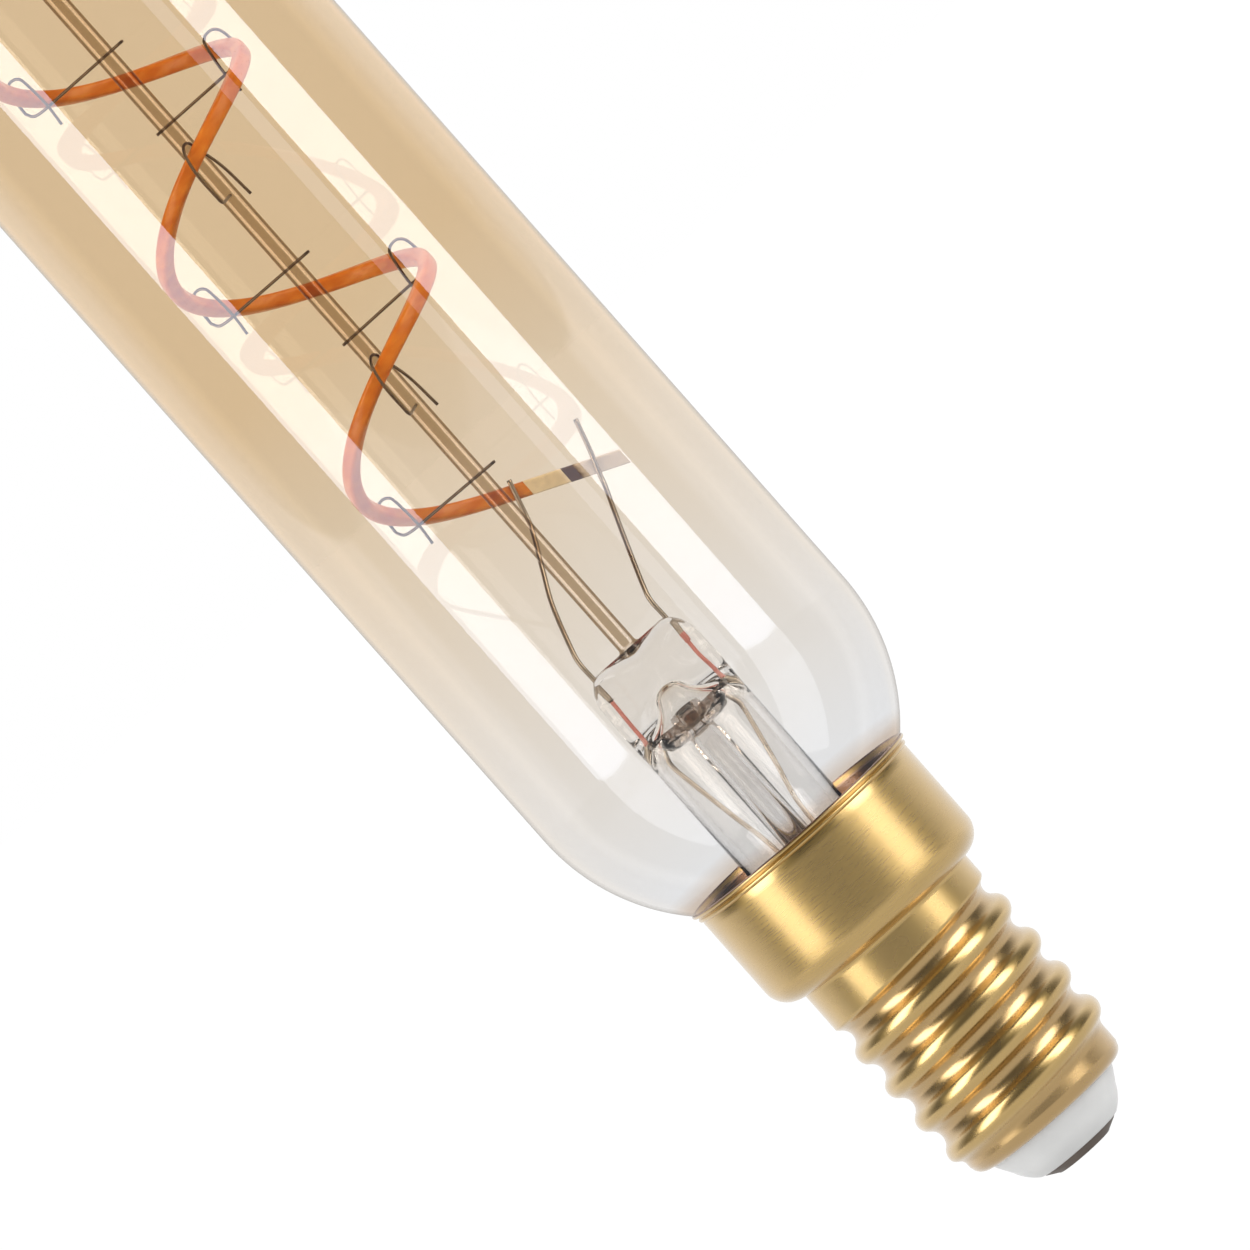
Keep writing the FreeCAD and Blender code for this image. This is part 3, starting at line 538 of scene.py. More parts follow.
def strip_coat():
    """Orange silicone over the strip, with paler streaks along it."""
    shades = colours()
    strip = shades.strip
    finish = Finish("strip_coat")
    streak = finish.noise(700.0, 2.0, (1, 1, 2.2))
    broad = finish.noise(140.0, 2.0)
    base = finish.mix(finish.spread(streak, 0.3, 0.75, 0.0, 0.7), strip, shades.strip_light)
    base = finish.mix(finish.spread(broad, 0.35, 0.7, 0.0, 0.2), base, darker(strip, 0.75))
    finish.set(Base_Color=base, Roughness=0.24, IOR=1.42, Subsurface_Weight=0.2,
               Subsurface_Scale=0.0006, Subsurface_Radius=(1.0, 0.35, 0.08))
    finish.bump(streak, RELIEF, 0.25)
    return finish.material


def tail_strip():
    """Bare metal tail of the strip, dark next to the plate, with a painted reflection further on:
    pale where the lamps' band on the glass lies over it.
    """
    reflection_start = (0.0044, 0.0048)
    shades = colours()
    finish = Finish("tail_metal")
    grain = finish.noise(1800.0, 3.0)
    along = finish.math("ADD", finish.axis("X"), finish.vary(grain, -0.0002, 0.0002))
    # Painted reflection: the tail turns pale from here along X, under the lamps' band on the glass.
    bare = finish.spread(along, *reflection_start)
    finish.set(Base_Color=finish.mix(bare, shades.tail, shades.tail_painted_reflection), Metallic=0.6,
               Roughness=finish.vary(grain, 0.36, 0.5))
    finish.bump(grain, RELIEF, 0.4)
    return finish.material


def plain(name, base, rough, specks, depth=RELIEF, vary=0.18, **values):
    """A finish with grain, small changes of shade and a little relief."""
    finish = Finish(name)
    mottle = finish.noise(specks, 5.0)
    pale = tuple(min(1.0, c * (1 + vary / 2)) for c in base)
    finish.set(Base_Color=finish.mix(finish.vary(mottle), darker(base, 1 - vary), pale),
               Roughness=finish.vary(mottle, rough * 0.85, min(1.0, rough * 1.15)), **values)
    finish.bump(mottle, depth, 0.5)
    return finish.material


# Pieces

class LAMP_OT_glass(bpy.types.Operator):
    """Tube, shoulder and dome of amber glass"""

    bl_idname = "lamp.glass"
    bl_label = "Glass tube"

    AROUND = 192
    NECK = 7.9     # radius of the neck inside the collar
    FOOT = 22.0    # level at which the neck ends
    DIVISIONS = 40

    def execute(self, context):
        s = sizes()
        radius, wall = s.tube_radius, s.glass_wall
        shoulder, top = s.shoulder_radius, s.shoulder_top
        dome = s.overall_length - radius
        foot = math.degrees(math.acos((s.throat_radius - radius + shoulder) / shoulder))
        steps = range(1, self.DIVISIONS)
        # The outside: neck, its small roll at the rim, shoulder, tube and dome
        section = [(self.NECK, self.FOOT), (self.NECK, 26.6)]
        section += arc((8.2, 27.1), 0.25, -130, -60, 3)
        section += arc((radius - shoulder, top), shoulder, -foot, 0, 32)
        section += [(radius, top + (dome - top) * i / self.DIVISIONS) for i in steps]
        section += arc((0, dome), radius, 0, 90, 40)
        outer_faces = (len(section) - 1) * self.AROUND
        # The inside, from the dome down
        section += arc((0, dome), radius - wall, 90, 0, 36)
        section += [(radius - wall, dome + (top - dome) * i / self.DIVISIONS) for i in steps]
        section += arc((radius - shoulder, top), shoulder - wall, 0, -foot, 28)
        section += [(self.NECK - wall, 26.4), (self.NECK - wall, self.FOOT)]
        piece = sharpen(lathe("tube_glass", section, self.AROUND), SHEET_BEND)
        dressed(piece, amber_glass(), "amber_glass", "glass_bulb")
        piece.data.materials.append(inner_glass_face())
        for face in piece.data.polygons:
            face.material_index = int(face.index >= outer_faces)
        return {"FINISHED"}


class LAMP_OT_cap(bpy.types.Operator):
    """Screw cap of rolled brass"""

    bl_idname = "lamp.cap"
    bl_label = "Screw cap"

    LINE = 0.32         # share of the pitch at which the flank is as wide as the neck
    THIRDS = 13         # length of the thread, in thirds of a turn
    BEGIN = 40.0        # the angles below are in degrees
    RUN_IN, RUN_OUT, WIDENING = 200.0, 150.0, 240.0
    TURNS = 7           # turns that can pass over one angle
    LIP = 4.0           # level at which the threaded length starts
    BORE = 5.83
    AROUND, LEVELS = 240, 156

    def rise(self, fraction, pitch, depth):
        """Height of the rounded thread over its root."""
        bend = (pitch ** 2 / 4 + depth ** 2) / (4 * depth)
        reach = abs(fraction - 0.5) * pitch
        if reach < pitch / 4:
            return depth - bend + math.sqrt(bend ** 2 - reach ** 2)
        reach = pitch / 2 - reach
        return bend - math.sqrt(bend ** 2 - reach ** 2)

    def thread(self, angle, level, root, neck, pitch, depth, start):
        """Radius of the threaded length at an angle in degrees and a height."""
        end = 120.0 * self.THIRDS
        for turn in range(self.TURNS):
            turned = angle - self.BEGIN + 360.0 * turn
            if turned < 0 or turned > end + 360:
                continue
            crest = start + pitch * turned / 360
            below = 0.5 * pitch * (0.06 + 0.94 * ease(turned / self.WIDENING))
            if not crest - below <= level <= crest + 0.5 * pitch:
                continue
            if level < crest:
                fraction = 0.5 - 0.5 * (crest - level) / below
            else:
                fraction = 0.5 + (level - crest) / pitch
            full = root + self.rise(fraction, pitch, depth) * ease(turned / self.RUN_IN)
            last = end + (360 if fraction <= self.LINE else 0)
            return neck + (full - neck) * ease((last - turned) / self.RUN_OUT)
        return root if level < start + pitch else neck

    def execute(self, context):
        s = sizes()
        pitch, depth = s.thread_pitch, s.thread_depth
        root = s.thread_radius - depth
        start, collar = s.thread_start, s.collar_radius
        neck = root + self.rise(self.LINE, pitch, depth)
        top = start + 0.15 + pitch * (self.THIRDS / 3 + 0.5 + self.LINE)
        # Lip round the insulator
        rows = [(self.BORE, 4.4), (5.2, 3.46), (5.0, 3.45), (5.0, 3.2)]
        rows += arc((root - 0.04 - 0.8, self.LIP), 0.8, -90, -8, 8)
        # Thread and neck, where the radius also changes round the cap
        rows += [(None, self.LIP + (top - self.LIP) * i / self.LEVELS)
                 for i in range(self.LEVELS + 1)]
        # Rounded corner and side of the collar
        rows += [(neck + 0.02, 18.93)] + arc((collar - 1.7, 20.7), 1.7, -90, 0, 14)
        rows += [(collar, 21.5 + 0.9 * i) for i in range(6)]
        # Two beads of the rim
        rows += [(collar, 26.5), (collar - 0.03, 26.62)]
        rows += arc((collar + 0.02, 26.8), 0.13, -70, 70, 6)
        rows += [(collar + 0.04, 26.98), (collar + 0.12, 27.04)]
        rows += arc((collar + 0.22, 27.2), 0.12, -60, 90, 7)
        # Inside of the collar and the bore
        rows += [(collar + 0.11, 27.35), (collar - 0.22, 26.85), (collar - 0.25, 20.7)]
        rows += [(6.9, 19.25), (self.BORE, 19.25)]
        points, faces = [], []
        for radius, level in rows:
            for k in range(self.AROUND):
                angle = 360.0 * k / self.AROUND
                r = radius
                if r is None:
                    r = self.thread(angle, level, root, neck, pitch, depth, start)
                turn = math.radians(angle)
                points.append((r * math.cos(turn), r * math.sin(turn), level))
        for i in range(len(rows)):
            low, high = i * self.AROUND, (i + 1) % len(rows) * self.AROUND
            for k in range(self.AROUND):
                n = (k + 1) % self.AROUND
                faces.append((low + k, low + n, high + n, high + k))
        piece = sharpen(mesh_piece("cap_brass", points, faces), SHEET_BEND)
        dressed(piece, brass_cap(), "cap_metal", "cap_shell")
        return {"FINISHED"}


class LAMP_OT_cap_end(bpy.types.Operator):
    """Insulator and centre contact at the end of the cap"""

    bl_idname = "lamp.cap_end"
    bl_label = "Insulator and contact"

    BORE = 0.75    # radius of the hole for the contact's pin

    def execute(self, context):
        c = colours()
        section = [(self.BORE, 0.56), (3.0, 0.56)] + arc((1.28, 3.32), 3.3, -55, -24, 12)
        section += [(4.72, 2.66), (5.0, 3.2), (5.0, 3.45), (5.03, 3.45), (5.83, 4.0)]
        section += [(self.BORE, 3.3)]
        piece = sharpen(lathe("end_insulator", section, 128), SOLID_BEND)
        finish = plain("insulator_glass", c.insulator, 0.34, 500.0, 0.000004, 0.04,
                       Coat_Weight=0.2)
        dressed(piece, finish, "insulator_glass", "cap_insulator")
        section = [(0, 0), (1.9, 0.0)] + arc((2.0, 0.12), 0.12, -80, -30, 3)
        section += [(2.84, 0.46), (2.92, 0.56), (self.BORE, 0.56), (self.BORE, 3.0), (0, 3.0)]
        piece = sharpen(lathe("end_contact", section, 96), SOLID_BEND)
        finish = metal("contact_metal", c.contact, 0.42, grain=1500.0)
        dressed(piece, finish, "contact_metal", "centre_contact")
        return {"FINISHED"}


class LAMP_OT_stem(bpy.types.Operator):
    """Stem with its press, exhaust tube and centre rod"""

    bl_idname = "lamp.stem"
    bl_label = "Glass stem"

    TUBE, FLARE = 3.93, 5.93    # outside radii of the tube and of its flare
    FOOT, BEND = 22.0, 35.0     # levels of the flare and of the start of the press
    PRESS = 1.4                 # half the depth of the press
    MELTED = (0.0355, 0.0380)   # heights of the melted ring, in metres

    # Rows of sections: half the width, half the depth, level and squareness
    FLAT = ((3.96, 1.4, 39.6, 4.5), (3.94, 1.4, 40.45, 5), (3.86, 1.39, 40.65, 5),
            (3.93, 1.4, 40.85, 5))
    SKIRT = ((7.35, 7.35, 21.35, 2), (7.35, 7.35, 22.0, 2))
    HOLLOW = ((0.25, 0.2, 39.36, 2), (0.7, 0.48, 39.2, 2.2), (1.02, 0.7, 38.9, 2.2),
              (1.22, 0.85, 38.5, 2.2), (1.5, 1.0, 38.0, 2.2), (1.95, 1.25, 37.5, 2.2),
              (2.55, 1.7, 37.0, 2.2), (3.0, 2.3, 36.5, 2.1), (3.2, 2.9, 35.9, 2),
              (3.28, 3.28, 35.2, 2), (3.28, 3.28, 24.2, 2), (5.4, 5.4, 21.35, 2))

    def ring(self, wide, deep, level, square, count=72):
        """A rounded section: an ellipse at 2, nearer a rectangle as square grows."""
        shift = sizes().stem_shift
        ring = []
        for k in range(count):
            turn = 2 * math.pi * k / count
            c, s = math.cos(turn), math.sin(turn)
            x = math.copysign(abs(c) ** (2 / square), c) * wide
            y = math.copysign(abs(s) ** (2 / square), s) * deep
            ring.append(Vector((shift + x, y, level)))
        return ring

    def outside(self):
        """Rows up the outside, from the flare to where the crown starts."""
        rows = [(self.FLARE, self.FLARE, self.FOOT, 2)]
        for i in range(1, 9):
            turn = i / 8 * math.pi / 2
            spread = self.TUBE + 2.0 * (1 - math.sin(turn))
            rows.append((spread, spread, self.FOOT + 2.0 * (1 - math.cos(turn)), 2))
        rows += [(self.TUBE, self.TUBE, 30.0, 2), (self.TUBE, self.TUBE, self.BEND, 2)]
        for i in range(1, 11):
            t = ease(i / 10)
            rows.append((self.TUBE + 0.04 * t, self.TUBE - 2.53 * t, self.BEND + 3.4 * i / 10,
                         2 + 2.0 * t))
        return rows + list(self.FLAT)

    def crown(self, x):
        """Level of the top of the press: dipped in the middle, rounded at its corners."""
        reach = abs(x)
        if reach < 2.5:
            return 42.18 + 0.42 * math.sin(reach / 2.5 * math.pi / 2) ** 2
        return 42.6 - 1.5 * min(1.0, (reach - 2.5) / 1.45) ** 2.3

    def top_rings(self, count=8):
        """Rings that close over the press and follow its crown."""
        shift = sizes().stem_shift
        rings = []
        for i in range(1, count + 1):
            turn = math.radians(90 * i / count)
            wide = self.TUBE - 0.25 * (1 - math.cos(turn))
            deep = max(0.04, self.PRESS * math.cos(turn) ** 0.6)
            drop = 0.5 * (1 - math.sin(turn))
            rings.append([Vector((p.x, p.y, self.crown(p.x - shift) - drop))
                          for p in self.ring(wide, deep, 0, 5)])
        return rings

    def pump_tube(self):
        """Exhaust tube, spread into a puddled ring where it joins the press."""
        section = [(0.03, 20.4)] + arc((0, 21.43), 1.03, -80, 0, 8)
        section += [(1.03, 35.2), (1.2, 35.5), (1.9, 35.62), (2.55, 35.9), (2.95, 36.4)]
        section += [(3.05, 36.9), (2.92, 36.98), (2.6, 36.45), (2.0, 36.05), (1.5, 36.05)]
        section += [(1.32, 36.4), (1.3, 37.15), (1.2, 37.38), (1.05, 37.3), (0.85, 36.7)]
        section += [(0.6, 36.3), (0.6, 22.0), (0.03, 21.4)]
        rings = []
        for wide, level in section:
            room = 2.9 - 0.95 * max(0.0, level - 35.7)
            rings.append(self.ring(wide, min(wide, room), level, 2))
        return loft("pump_tube", rings)

    def rod(self):
        """Centre rod with a thicker foot in the press."""
        section = [(0, 42.0), (0.86, 42.0), (0.86, 42.5), (0.82, 42.6), (0.7, 42.68)]
        section += [(ROD_RADIUS, 42.8)] + [(ROD_RADIUS, 43.0 + 128.4 * i / 60) for i in range(61)]
        section += arc((0, 171.4), ROD_RADIUS, 5, 90, 8)
        return lathe("centre_glass_rod", section, 40, sizes().stem_shift, closed=False)

    def execute(self, context):
        rows = list(self.HOLLOW + self.SKIRT) + self.outside()
        stem = loft("stem_glass", [self.ring(*row) for row in rows] + self.top_rings())
        dressed(sharpen(stem, SOLID_BEND), clear_glass("stem_glass"), "clear_glass", "stem")
        dressed(sharpen(self.pump_tube(), SOLID_BEND), clear_glass("pump_glass", self.MELTED),
                "clear_glass", "exhaust_tube")
        dressed(sharpen(self.rod(), SOLID_BEND), rod_glass(), "clear_glass", "centre_rod")
        return {"FINISHED"}


class LAMP_OT_wires(bpy.types.Operator):
    """Supply wires and supports"""

    bl_idname = "lamp.wires"
    bl_label = "Wires"

    COUNT = 20
    # For the three supports of a turn: angle, stub behind the rod, drop under the strip,
    # height of the hook and how far its inner leg swings aside
    ANGLES = (147.0, 265.0, 385.0)
    STUBS = (1.05, 0.3, 0.3)
    DROPS = (1.24, 3.0, 1.29)
    CROWNS = (2.7, 4.3, 2.7)
    SWINGS = (0.35, 1.6, 0.35)
    LEGS = (-1.4, -0.7, -1.4)

    # The supply wires, as seen from the stem's middle
    HALF = 2.975     # out to a lead in the press
    TOUCH = 5.87     # back to the strip
    RUNS = {
        "inner_lead_left": (
            (-HALF, 0, 40.8), (-HALF, 0, 42.6), (-HALF, 0, 43.9), (-2.72, 0.5, 45.0),
            (-1.85, 2.29, 47.6), (-0.9, 3.7, 49.5), (0.3, 5.4, 51.8), (0.62, TOUCH, 52.7),
            (0.95, TOUCH, 53.9), (1.31, TOUCH, 55.2)),
        "inner_lead_right": (
            (HALF, 0, 40.8), (HALF, 0, 42.6), (HALF, 0, 43.9), (3.25, 0.55, 44.9),
            (4.2, 2.58, 47.4), (4.95, 4.2, 49.3), (5.6, 5.6, 50.9), (5.85, TOUCH, 51.7),
            (6.4, TOUCH, 53.3), (6.99, TOUCH, 55.3)),
        "outer_lead_left": (
            (-HALF, 0, 37.0), (-HALF, 0, 35.8), (-2.75, 0, 34.3), (-2.1, 0, 30.8),
            (-1.52, 0, 27.7), (-1.4, 0, 24.0), (-1.31, 0, 19.6)),
        "outer_lead_right": (
            (HALF, 0, 37.0), (HALF, 0, 35.8), (2.7, 0, 34.3), (2.1, 0, 31.4),
            (1.52, 0, 28.6), (1.45, 0, 24.5), (1.4, 0, 19.6)),
    }

    def hook(self, kind):
        """Points of one support: (out from the rod, aside, up)."""
        crown, swing = self.CROWNS[kind], self.SWINGS[kind]
        return [(-ROD_RADIUS - self.STUBS[kind], 0, 0), (0.8, 0, 0), (3.4, 0, 0), (5.0, 0, 0),
                (6.2, 0, 0.0), (7.0, 0, 0.12), (7.3, 0, 0.5), (7.35, 0, crown - 2.0),
                (7.2, swing * 0.14, crown - 0.6), (6.9 - swing * 0.14, swing * 0.27, crown - 0.1),
                (6.45 - swing * 0.14, swing * 0.4, crown),
                (6.0 - swing * 0.1, swing * 0.5, crown - 0.15), (5.72, swing * 0.57, crown - 0.6),
                (5.5, swing * 0.86, crown - 2.5), (5.6, swing, self.LEGS[kind])]

    def support(self, index, finish):
        """One support, in order up the spiral."""
        s = sizes()
        kind = index % 3
        degrees = self.ANGLES[kind] + 360 * (index // 3)
        turn = math.radians(degrees)
        out = Vector((math.cos(turn), math.sin(turn), 0))
        side = Vector((-math.sin(turn), math.cos(turn), 0))
        level = s.strip_height + s.strip_pitch * (degrees - 180) / 360
        start = Vector((s.stem_shift, 0,
                        level - SPIRAL_LEAN * math.sin(turn) - self.DROPS[kind]))
        points = [start + out * p[0] + side * p[1] + Vector((0, 0, p[2]))
                  for p in self.hook(kind)]
        piece = wire("support_wire_%02d" % (index + 1), points, s.wire, 8, 5)
        dressed(piece, finish, "support_wire", "support_hook_%02d" % (index + 1))

    def execute(self, context):
        s, c = sizes(), colours()
        shift = s.stem_shift
        fine = metal("support_wire", c.support, 0.35)
        for index in range(self.COUNT):
            self.support(index, fine)
        grey = metal("lead_metal", c.lead, 0.30, grain=2500.0)
        red = plain("seal_metal", c.seal, 0.35, 900.0)
        for node, points in self.RUNS.items():
            points = [(x + shift, y, z) for x, y, z in points]
            dressed(wire(node + "_wire", points, s.lead), grey, "lead_metal", node)
        for node, sign in (("seal_wire_left", -1), ("seal_wire_right", 1)):
            x = shift + sign * self.HALF
            points = [(x, 0, 37.0), (x + 0.05 * sign, 0, 38.2), (x - 0.04, 0, 39.4), (x, 0, 40.8)]
            dressed(wire(node + "_red", points, 0.24), red, "seal_metal", node)
        x = shift + self.HALF
        knot = [(x, 0, 40.42), (x + 0.02, 0, 40.7), (x, 0, 41.1)]
        dressed(wire("seal_knot", knot, 0.36), red, "seal_metal")
        return {"FINISHED"}


class LAMP_OT_strip(bpy.types.Operator):
    """Light strip with its bare end"""

    bl_idname = "lamp.strip"
    bl_label = "Light strip"

    START = 90.0     # angle at which the spiral goes over into its straight end
    THIRDS = 20      # length of the spiral, in thirds of a turn
    STEP = 4.0       # degrees from one section to the next
    COAT, PLATE, TAIL = 1.9, 4.2, 7.8   # where each ends along the straight end

    def section(self, wide, deep, corner, steps=4):
        """(outward, up) points of a strip's rounded section."""
        ring = []
        for quarter, (a, b) in enumerate(((1, 1), (-1, 1), (-1, -1), (1, -1))):
            for i in range(steps + 1):
                turn = math.radians(90 * quarter + 90 * i / steps)
                ring.append((a * (deep / 2 - corner) + corner * math.cos(turn),
                             b * (wide / 2 - corner) + corner * math.sin(turn)))
        return ring

    def place(self, angle):
        """Centre and outward way of the strip at an angle, which is less than START
        along the straight end."""
        s = sizes()
        radius, pitch = s.strip_radius, s.strip_pitch
        turned = max(angle, self.START)
        turn = math.radians(turned)
        level = s.strip_height + pitch * (turned - 180) / 360 - SPIRAL_LEAN * math.sin(turn)
        out = Vector((math.cos(turn), math.sin(turn), 0))
        centre = Vector((s.stem_shift, 0, level)) + out * radius
        if angle < self.START:
            distance = radius * math.radians(self.START - angle)
            centre += Vector((distance, 0, -distance * pitch / (2 * math.pi * radius)))
        return centre, out

    def run(self, name, first, last, corner):
        """A length of strip from one angle to another."""
        s = sizes()
        count = max(2, round(abs(last - first) / self.STEP))
        ring = self.section(s.strip_width, s.strip_thickness, corner)
        rings = []
        for i in range(count + 1):
            centre, out = self.place(first + (last - first) * i / count)
            rings.append([centre + out * a + Vector((0, 0, b)) for a, b in ring])
        return sharpen(loft(name, rings), SOLID_BEND)

    def execute(self, context):
        s, c = sizes(), colours()
        degrees = math.degrees(1 / s.strip_radius)
        coat, plate, tail = (self.START - reach * degrees
                             for reach in (self.COAT, self.PLATE, self.TAIL))
        piece = self.run("strip_coat", coat, self.START + 120 * self.THIRDS, 0.3)
        dressed(piece, strip_coat(), "strip_coat", "light_strip")
        bare = plain("plate_metal", c.plate, 0.36, 1800.0, vary=0.14, Metallic=0.35)
        dressed(self.run("strip_plate", plate, coat, 0.12), bare, "strip_plate", "strip_end_plate")
        piece = self.run("strip_tail", tail, plate, 0.12)
        dressed(piece, tail_strip(), "strip_tail", "strip_end_tail")
        return {"FINISHED"}


class LAMP_OT_driver(bpy.types.Operator):
    """Driver parts hidden in the cap, and the cement round the neck"""

    bl_idname = "lamp.driver"
    bl_label = "Driver parts"

    # Node: name of the finish, colour and roughness
    FINISHES = {
        "driver_board": ("board", (0.03, 0.16, 0.06), 0.45),
        "bridge_rectifier": ("chip", (0.02, 0.02, 0.022), 0.5),
        "driver_chip": ("chip", (0.02, 0.02, 0.022), 0.5),
        "smoothing_capacitor": ("sleeve", (0.02, 0.025, 0.05), 0.3),
        "fuse_resistor": ("resistor", (0.06, 0.18, 0.26), 0.4),
        "capping_cement": ("cement", (0.55, 0.48, 0.38), 0.9),
    }

    def execute(self, context):
        made = {}
        for node, (word, base, rough) in self.FINISHES.items():
            if word not in made:
                made[word] = plain(word + "_finish", base, rough, 700.0)
            self.carry(node, made[word])
        tinned = metal("tinned_wire", (0.6, 0.58, 0.55), 0.3, grain=1500.0)
        for node in ("live_wire", "shell_wire"):
            self.carry(node, tinned)
        return {"FINISHED"}

    def carry(self, node, finish):
        """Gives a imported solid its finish."""
        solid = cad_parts[node]
        for place in solid.material_slots:
            place.material = finish


class LAMP_OT_stage(bpy.types.Operator):
    """Floor, studio light and camera"""

    bl_idname = "lamp.stage"
    bl_label = "Stage"

    # Name, azimuth from the front in degrees, width in metres and watts of each light
    LIGHTS = (("left_softbox", -59, 0.43, 5.3), ("right_softbox", 58, 0.42, 5.2),
              ("right_strip_light", 36.4, 0.134, 0.42))
    LIGHT_ELEVATION, LIGHT_DISTANCE, LIGHT_HEIGHT = 24, 0.8, 0.9
    LIGHT_AIM = (0, 0, 0.07)

    FLOOR_HALF, FLOOR_LEVEL = 6.0, -0.12
    FLOOR_DIFFUSE = (0.48, 0.52)
    FLOOR_GLOW, FLOOR_SHARE = 1.08, 0.93   # strength of its white, and the white's share
    FLOOR_NEAR, FLOOR_FAR = (-0.1, 0.15), (0.5, 0.95)   # Y and share that glossy rays see

    # Brightness of the room that glossy rays see, from the front (0) to behind (1)
    ROOM = ((0.0, 0.10), (0.25, 0.10), (0.55, 0.08), (0.64, 0.12), (0.74, 0.5), (0.82, 1.0),
            (1.0, 1.0))
    ROOM_DIFFUSE = 0.6

    CAMERA_AIM = (0.25, 0, 43.8)
    CAMERA_LIFT = 2.6                    # degrees that it looks down on the lamp
    CAMERA_ROLL = (0.7490, 0.6626)       # cosine and sine of its roll
    CAMERA_AWAY, CAMERA_FIELD = 1.0, 0.078125   # distance, and width seen, in metres

    def panel_light(self, name, azimuth, wide, watts):
        a, e = math.radians(azimuth), math.radians(self.LIGHT_ELEVATION)
        away = Vector((math.sin(a) * math.cos(e), -math.cos(a) * math.cos(e), math.sin(e)))
        aim = Vector(self.LIGHT_AIM)
        lamp = bpy.data.lights.new(name, "AREA")
        lamp.shape = "RECTANGLE"
        lamp.size, lamp.size_y = wide, self.LIGHT_HEIGHT
        lamp.energy = watts
        holder = bpy.data.objects.new(name, lamp)
        holder.location = aim + self.LIGHT_DISTANCE * away
        holder.rotation_euler = (aim - holder.location).to_track_quat("-Z", "Y").to_euler()
        bpy.context.scene.collection.objects.link(holder)

    def floor(self, white):
        """Floor that is seen white, keeps the lamp's shadow and is greyer in front."""
        half, level = self.FLOOR_HALF, self.FLOOR_LEVEL
        mesh = bpy.data.meshes.new("floor")
        corners = [(-half, -half, level), (half, -half, level), (half, half, level),
                   (-half, half, level)]
        mesh.from_pydata(corners, [], [(0, 1, 2, 3)])
        floor = bpy.data.objects.new("floor", mesh)
        bpy.context.scene.collection.objects.link(floor)
        finish = Finish("floor_white")
        finish.set(Roughness=0.9)
        (near, near_share), (far, far_share) = self.FLOOR_NEAR, self.FLOOR_FAR
        mirrored = finish.math("MULTIPLY", finish.rays("Glossy"), finish.spread(
            finish.axis("Y"), near, far, near_share, far_share))
        seen = finish.math("MAXIMUM", finish.rays("Camera", "Transmission"), mirrored)
        mottle = finish.noise(3.0, 2.0)
        low, high = (darker(white, share) for share in self.FLOOR_DIFFUSE)
        finish.set(Base_Color=finish.mix(finish.vary(mottle), low, high))
        glow = finish.node("ShaderNodeEmission", {"Color": white, "Strength": self.FLOOR_GLOW})
        finish.blend(finish.math("MULTIPLY", seen, self.FLOOR_SHARE), finish.shader, glow)
        mesh.materials.append(finish.material)

    def execute(self, context):
        scene = context.scene
        white = tuple(colours().backdrop)
        self.floor(white)
        self.studio(scene, white)
        for light in self.LIGHTS:
            self.panel_light(*light)
        scene.view_settings.view_transform = "Standard"
        self.camera(scene)
        return {"FINISHED"}

    def studio(self, scene, white):
        """White backdrop behind the lamp, darker room at its sides and in front."""
        world = bpy.data.worlds.new("studio")
        scene.world = world
        world.use_nodes = True
        air = Nodes(world.node_tree)
        room = air.ramp(air.spread(air.axis("Y", "Generated"), -1.0, 1.0), self.ROOM)
        soft = air.choose(air.rays("Glossy"), self.ROOM_DIFFUSE, room)
        sky = air.nodes["Background"].inputs
        feed(air.links, white, sky["Color"])
        feed(air.links, air.choose(air.rays("Camera", "Transmission"), soft, 1.0), sky["Strength"])

    def camera(self, scene):
        """A long lens level with the stem, rolled so that the lamp lies across the picture."""
        target = Vector(self.CAMERA_AIM) * MM
        lift = math.radians(self.CAMERA_LIFT)
        away = Vector((0, -math.cos(lift), math.sin(lift)))
        look = -away
        flat_x = Vector((1, 0, 0))
        flat_z = (Vector((0, 0, 1)) - look * look.z).normalized()
        c, s = self.CAMERA_ROLL
        right = c * flat_x - s * flat_z
        up = s * flat_x + c * flat_z
        turn = Matrix((right.normalized(), up.normalized(), -look)).transposed()
        data = bpy.data.cameras.new("camera")
        data.sensor_width = 36.0
        data.lens = data.sensor_width * self.CAMERA_AWAY / self.CAMERA_FIELD
        data.clip_start = 0.01
        data.clip_end = 50.0
        camera = bpy.data.objects.new("camera", data)
        place = target + away * self.CAMERA_AWAY
        camera.matrix_world = Matrix.Translation(place) @ turn.to_4x4()
        scene.collection.objects.link(camera)
        scene.camera = camera


class LAMP_PT_panel(bpy.types.Panel):
    """Lists the lamp's sizes, colours and pieces."""

    bl_label = "Lamp"
    bl_idname = "LAMP_PT_panel"
    bl_space_type = "VIEW_3D"
    bl_region_type = "UI"
    bl_category = "Lamp"

    def draw(self, context):
        for group in (context.scene.lamp_sizes, context.scene.lamp_colours):
            for key in group.__annotations__:
                self.layout.prop(group, key)
        for piece in PIECES:
            self.layout.operator(piece.bl_idname)


PIECES = (LAMP_OT_glass, LAMP_OT_cap, LAMP_OT_cap_end, LAMP_OT_stem, LAMP_OT_wires, LAMP_OT_strip,
          LAMP_OT_driver, LAMP_OT_stage)
CLASSES = (LampSizes, LampColours) + PIECES + (LAMP_PT_panel,)


def register():
    for item in CLASSES:
        bpy.utils.register_class(item)
    bpy.types.Scene.lamp_sizes = bpy.props.PointerProperty(type=LampSizes)
    bpy.types.Scene.lamp_colours = bpy.props.PointerProperty(type=LampColours)


def unregister():
    del bpy.types.Scene.lamp_colours
    del bpy.types.Scene.lamp_sizes
    for item in reversed(CLASSES):
        bpy.utils.unregister_class(item)


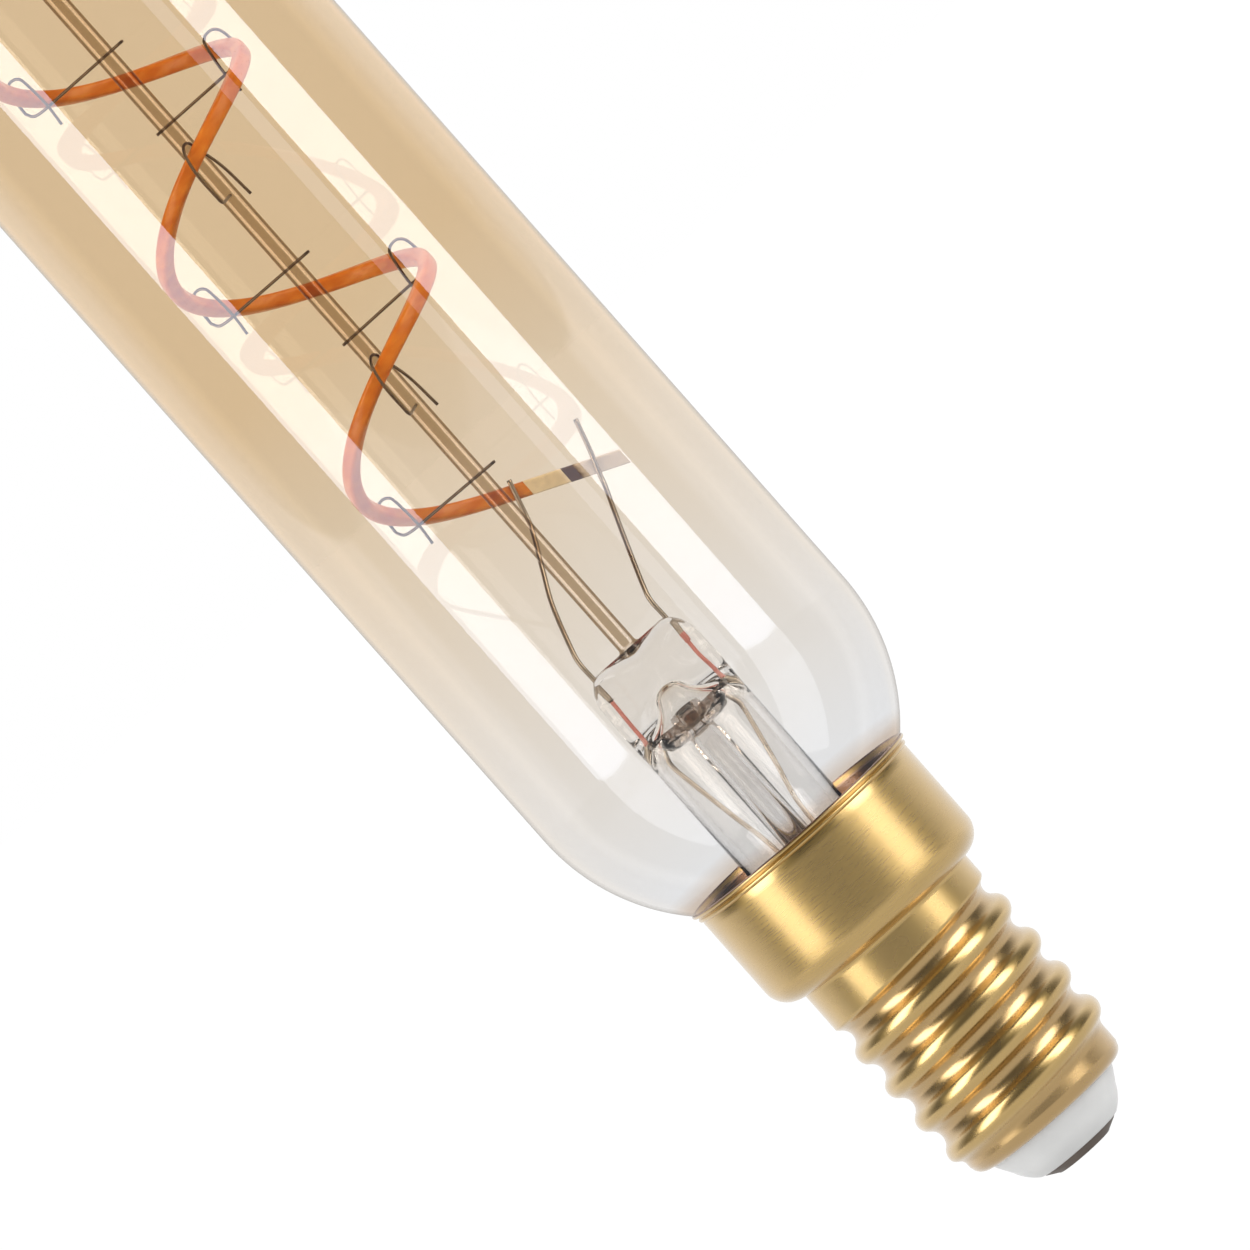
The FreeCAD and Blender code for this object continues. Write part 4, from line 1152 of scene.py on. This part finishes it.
def main():
    register()
    bpy.ops.lamp.glass()
    bpy.ops.lamp.cap()
    bpy.ops.lamp.cap_end()
    bpy.ops.lamp.stem()
    bpy.ops.lamp.wires()
    bpy.ops.lamp.strip()
    bpy.ops.lamp.driver()
    bpy.ops.lamp.stage()


if __name__ == "__main__":
    main()
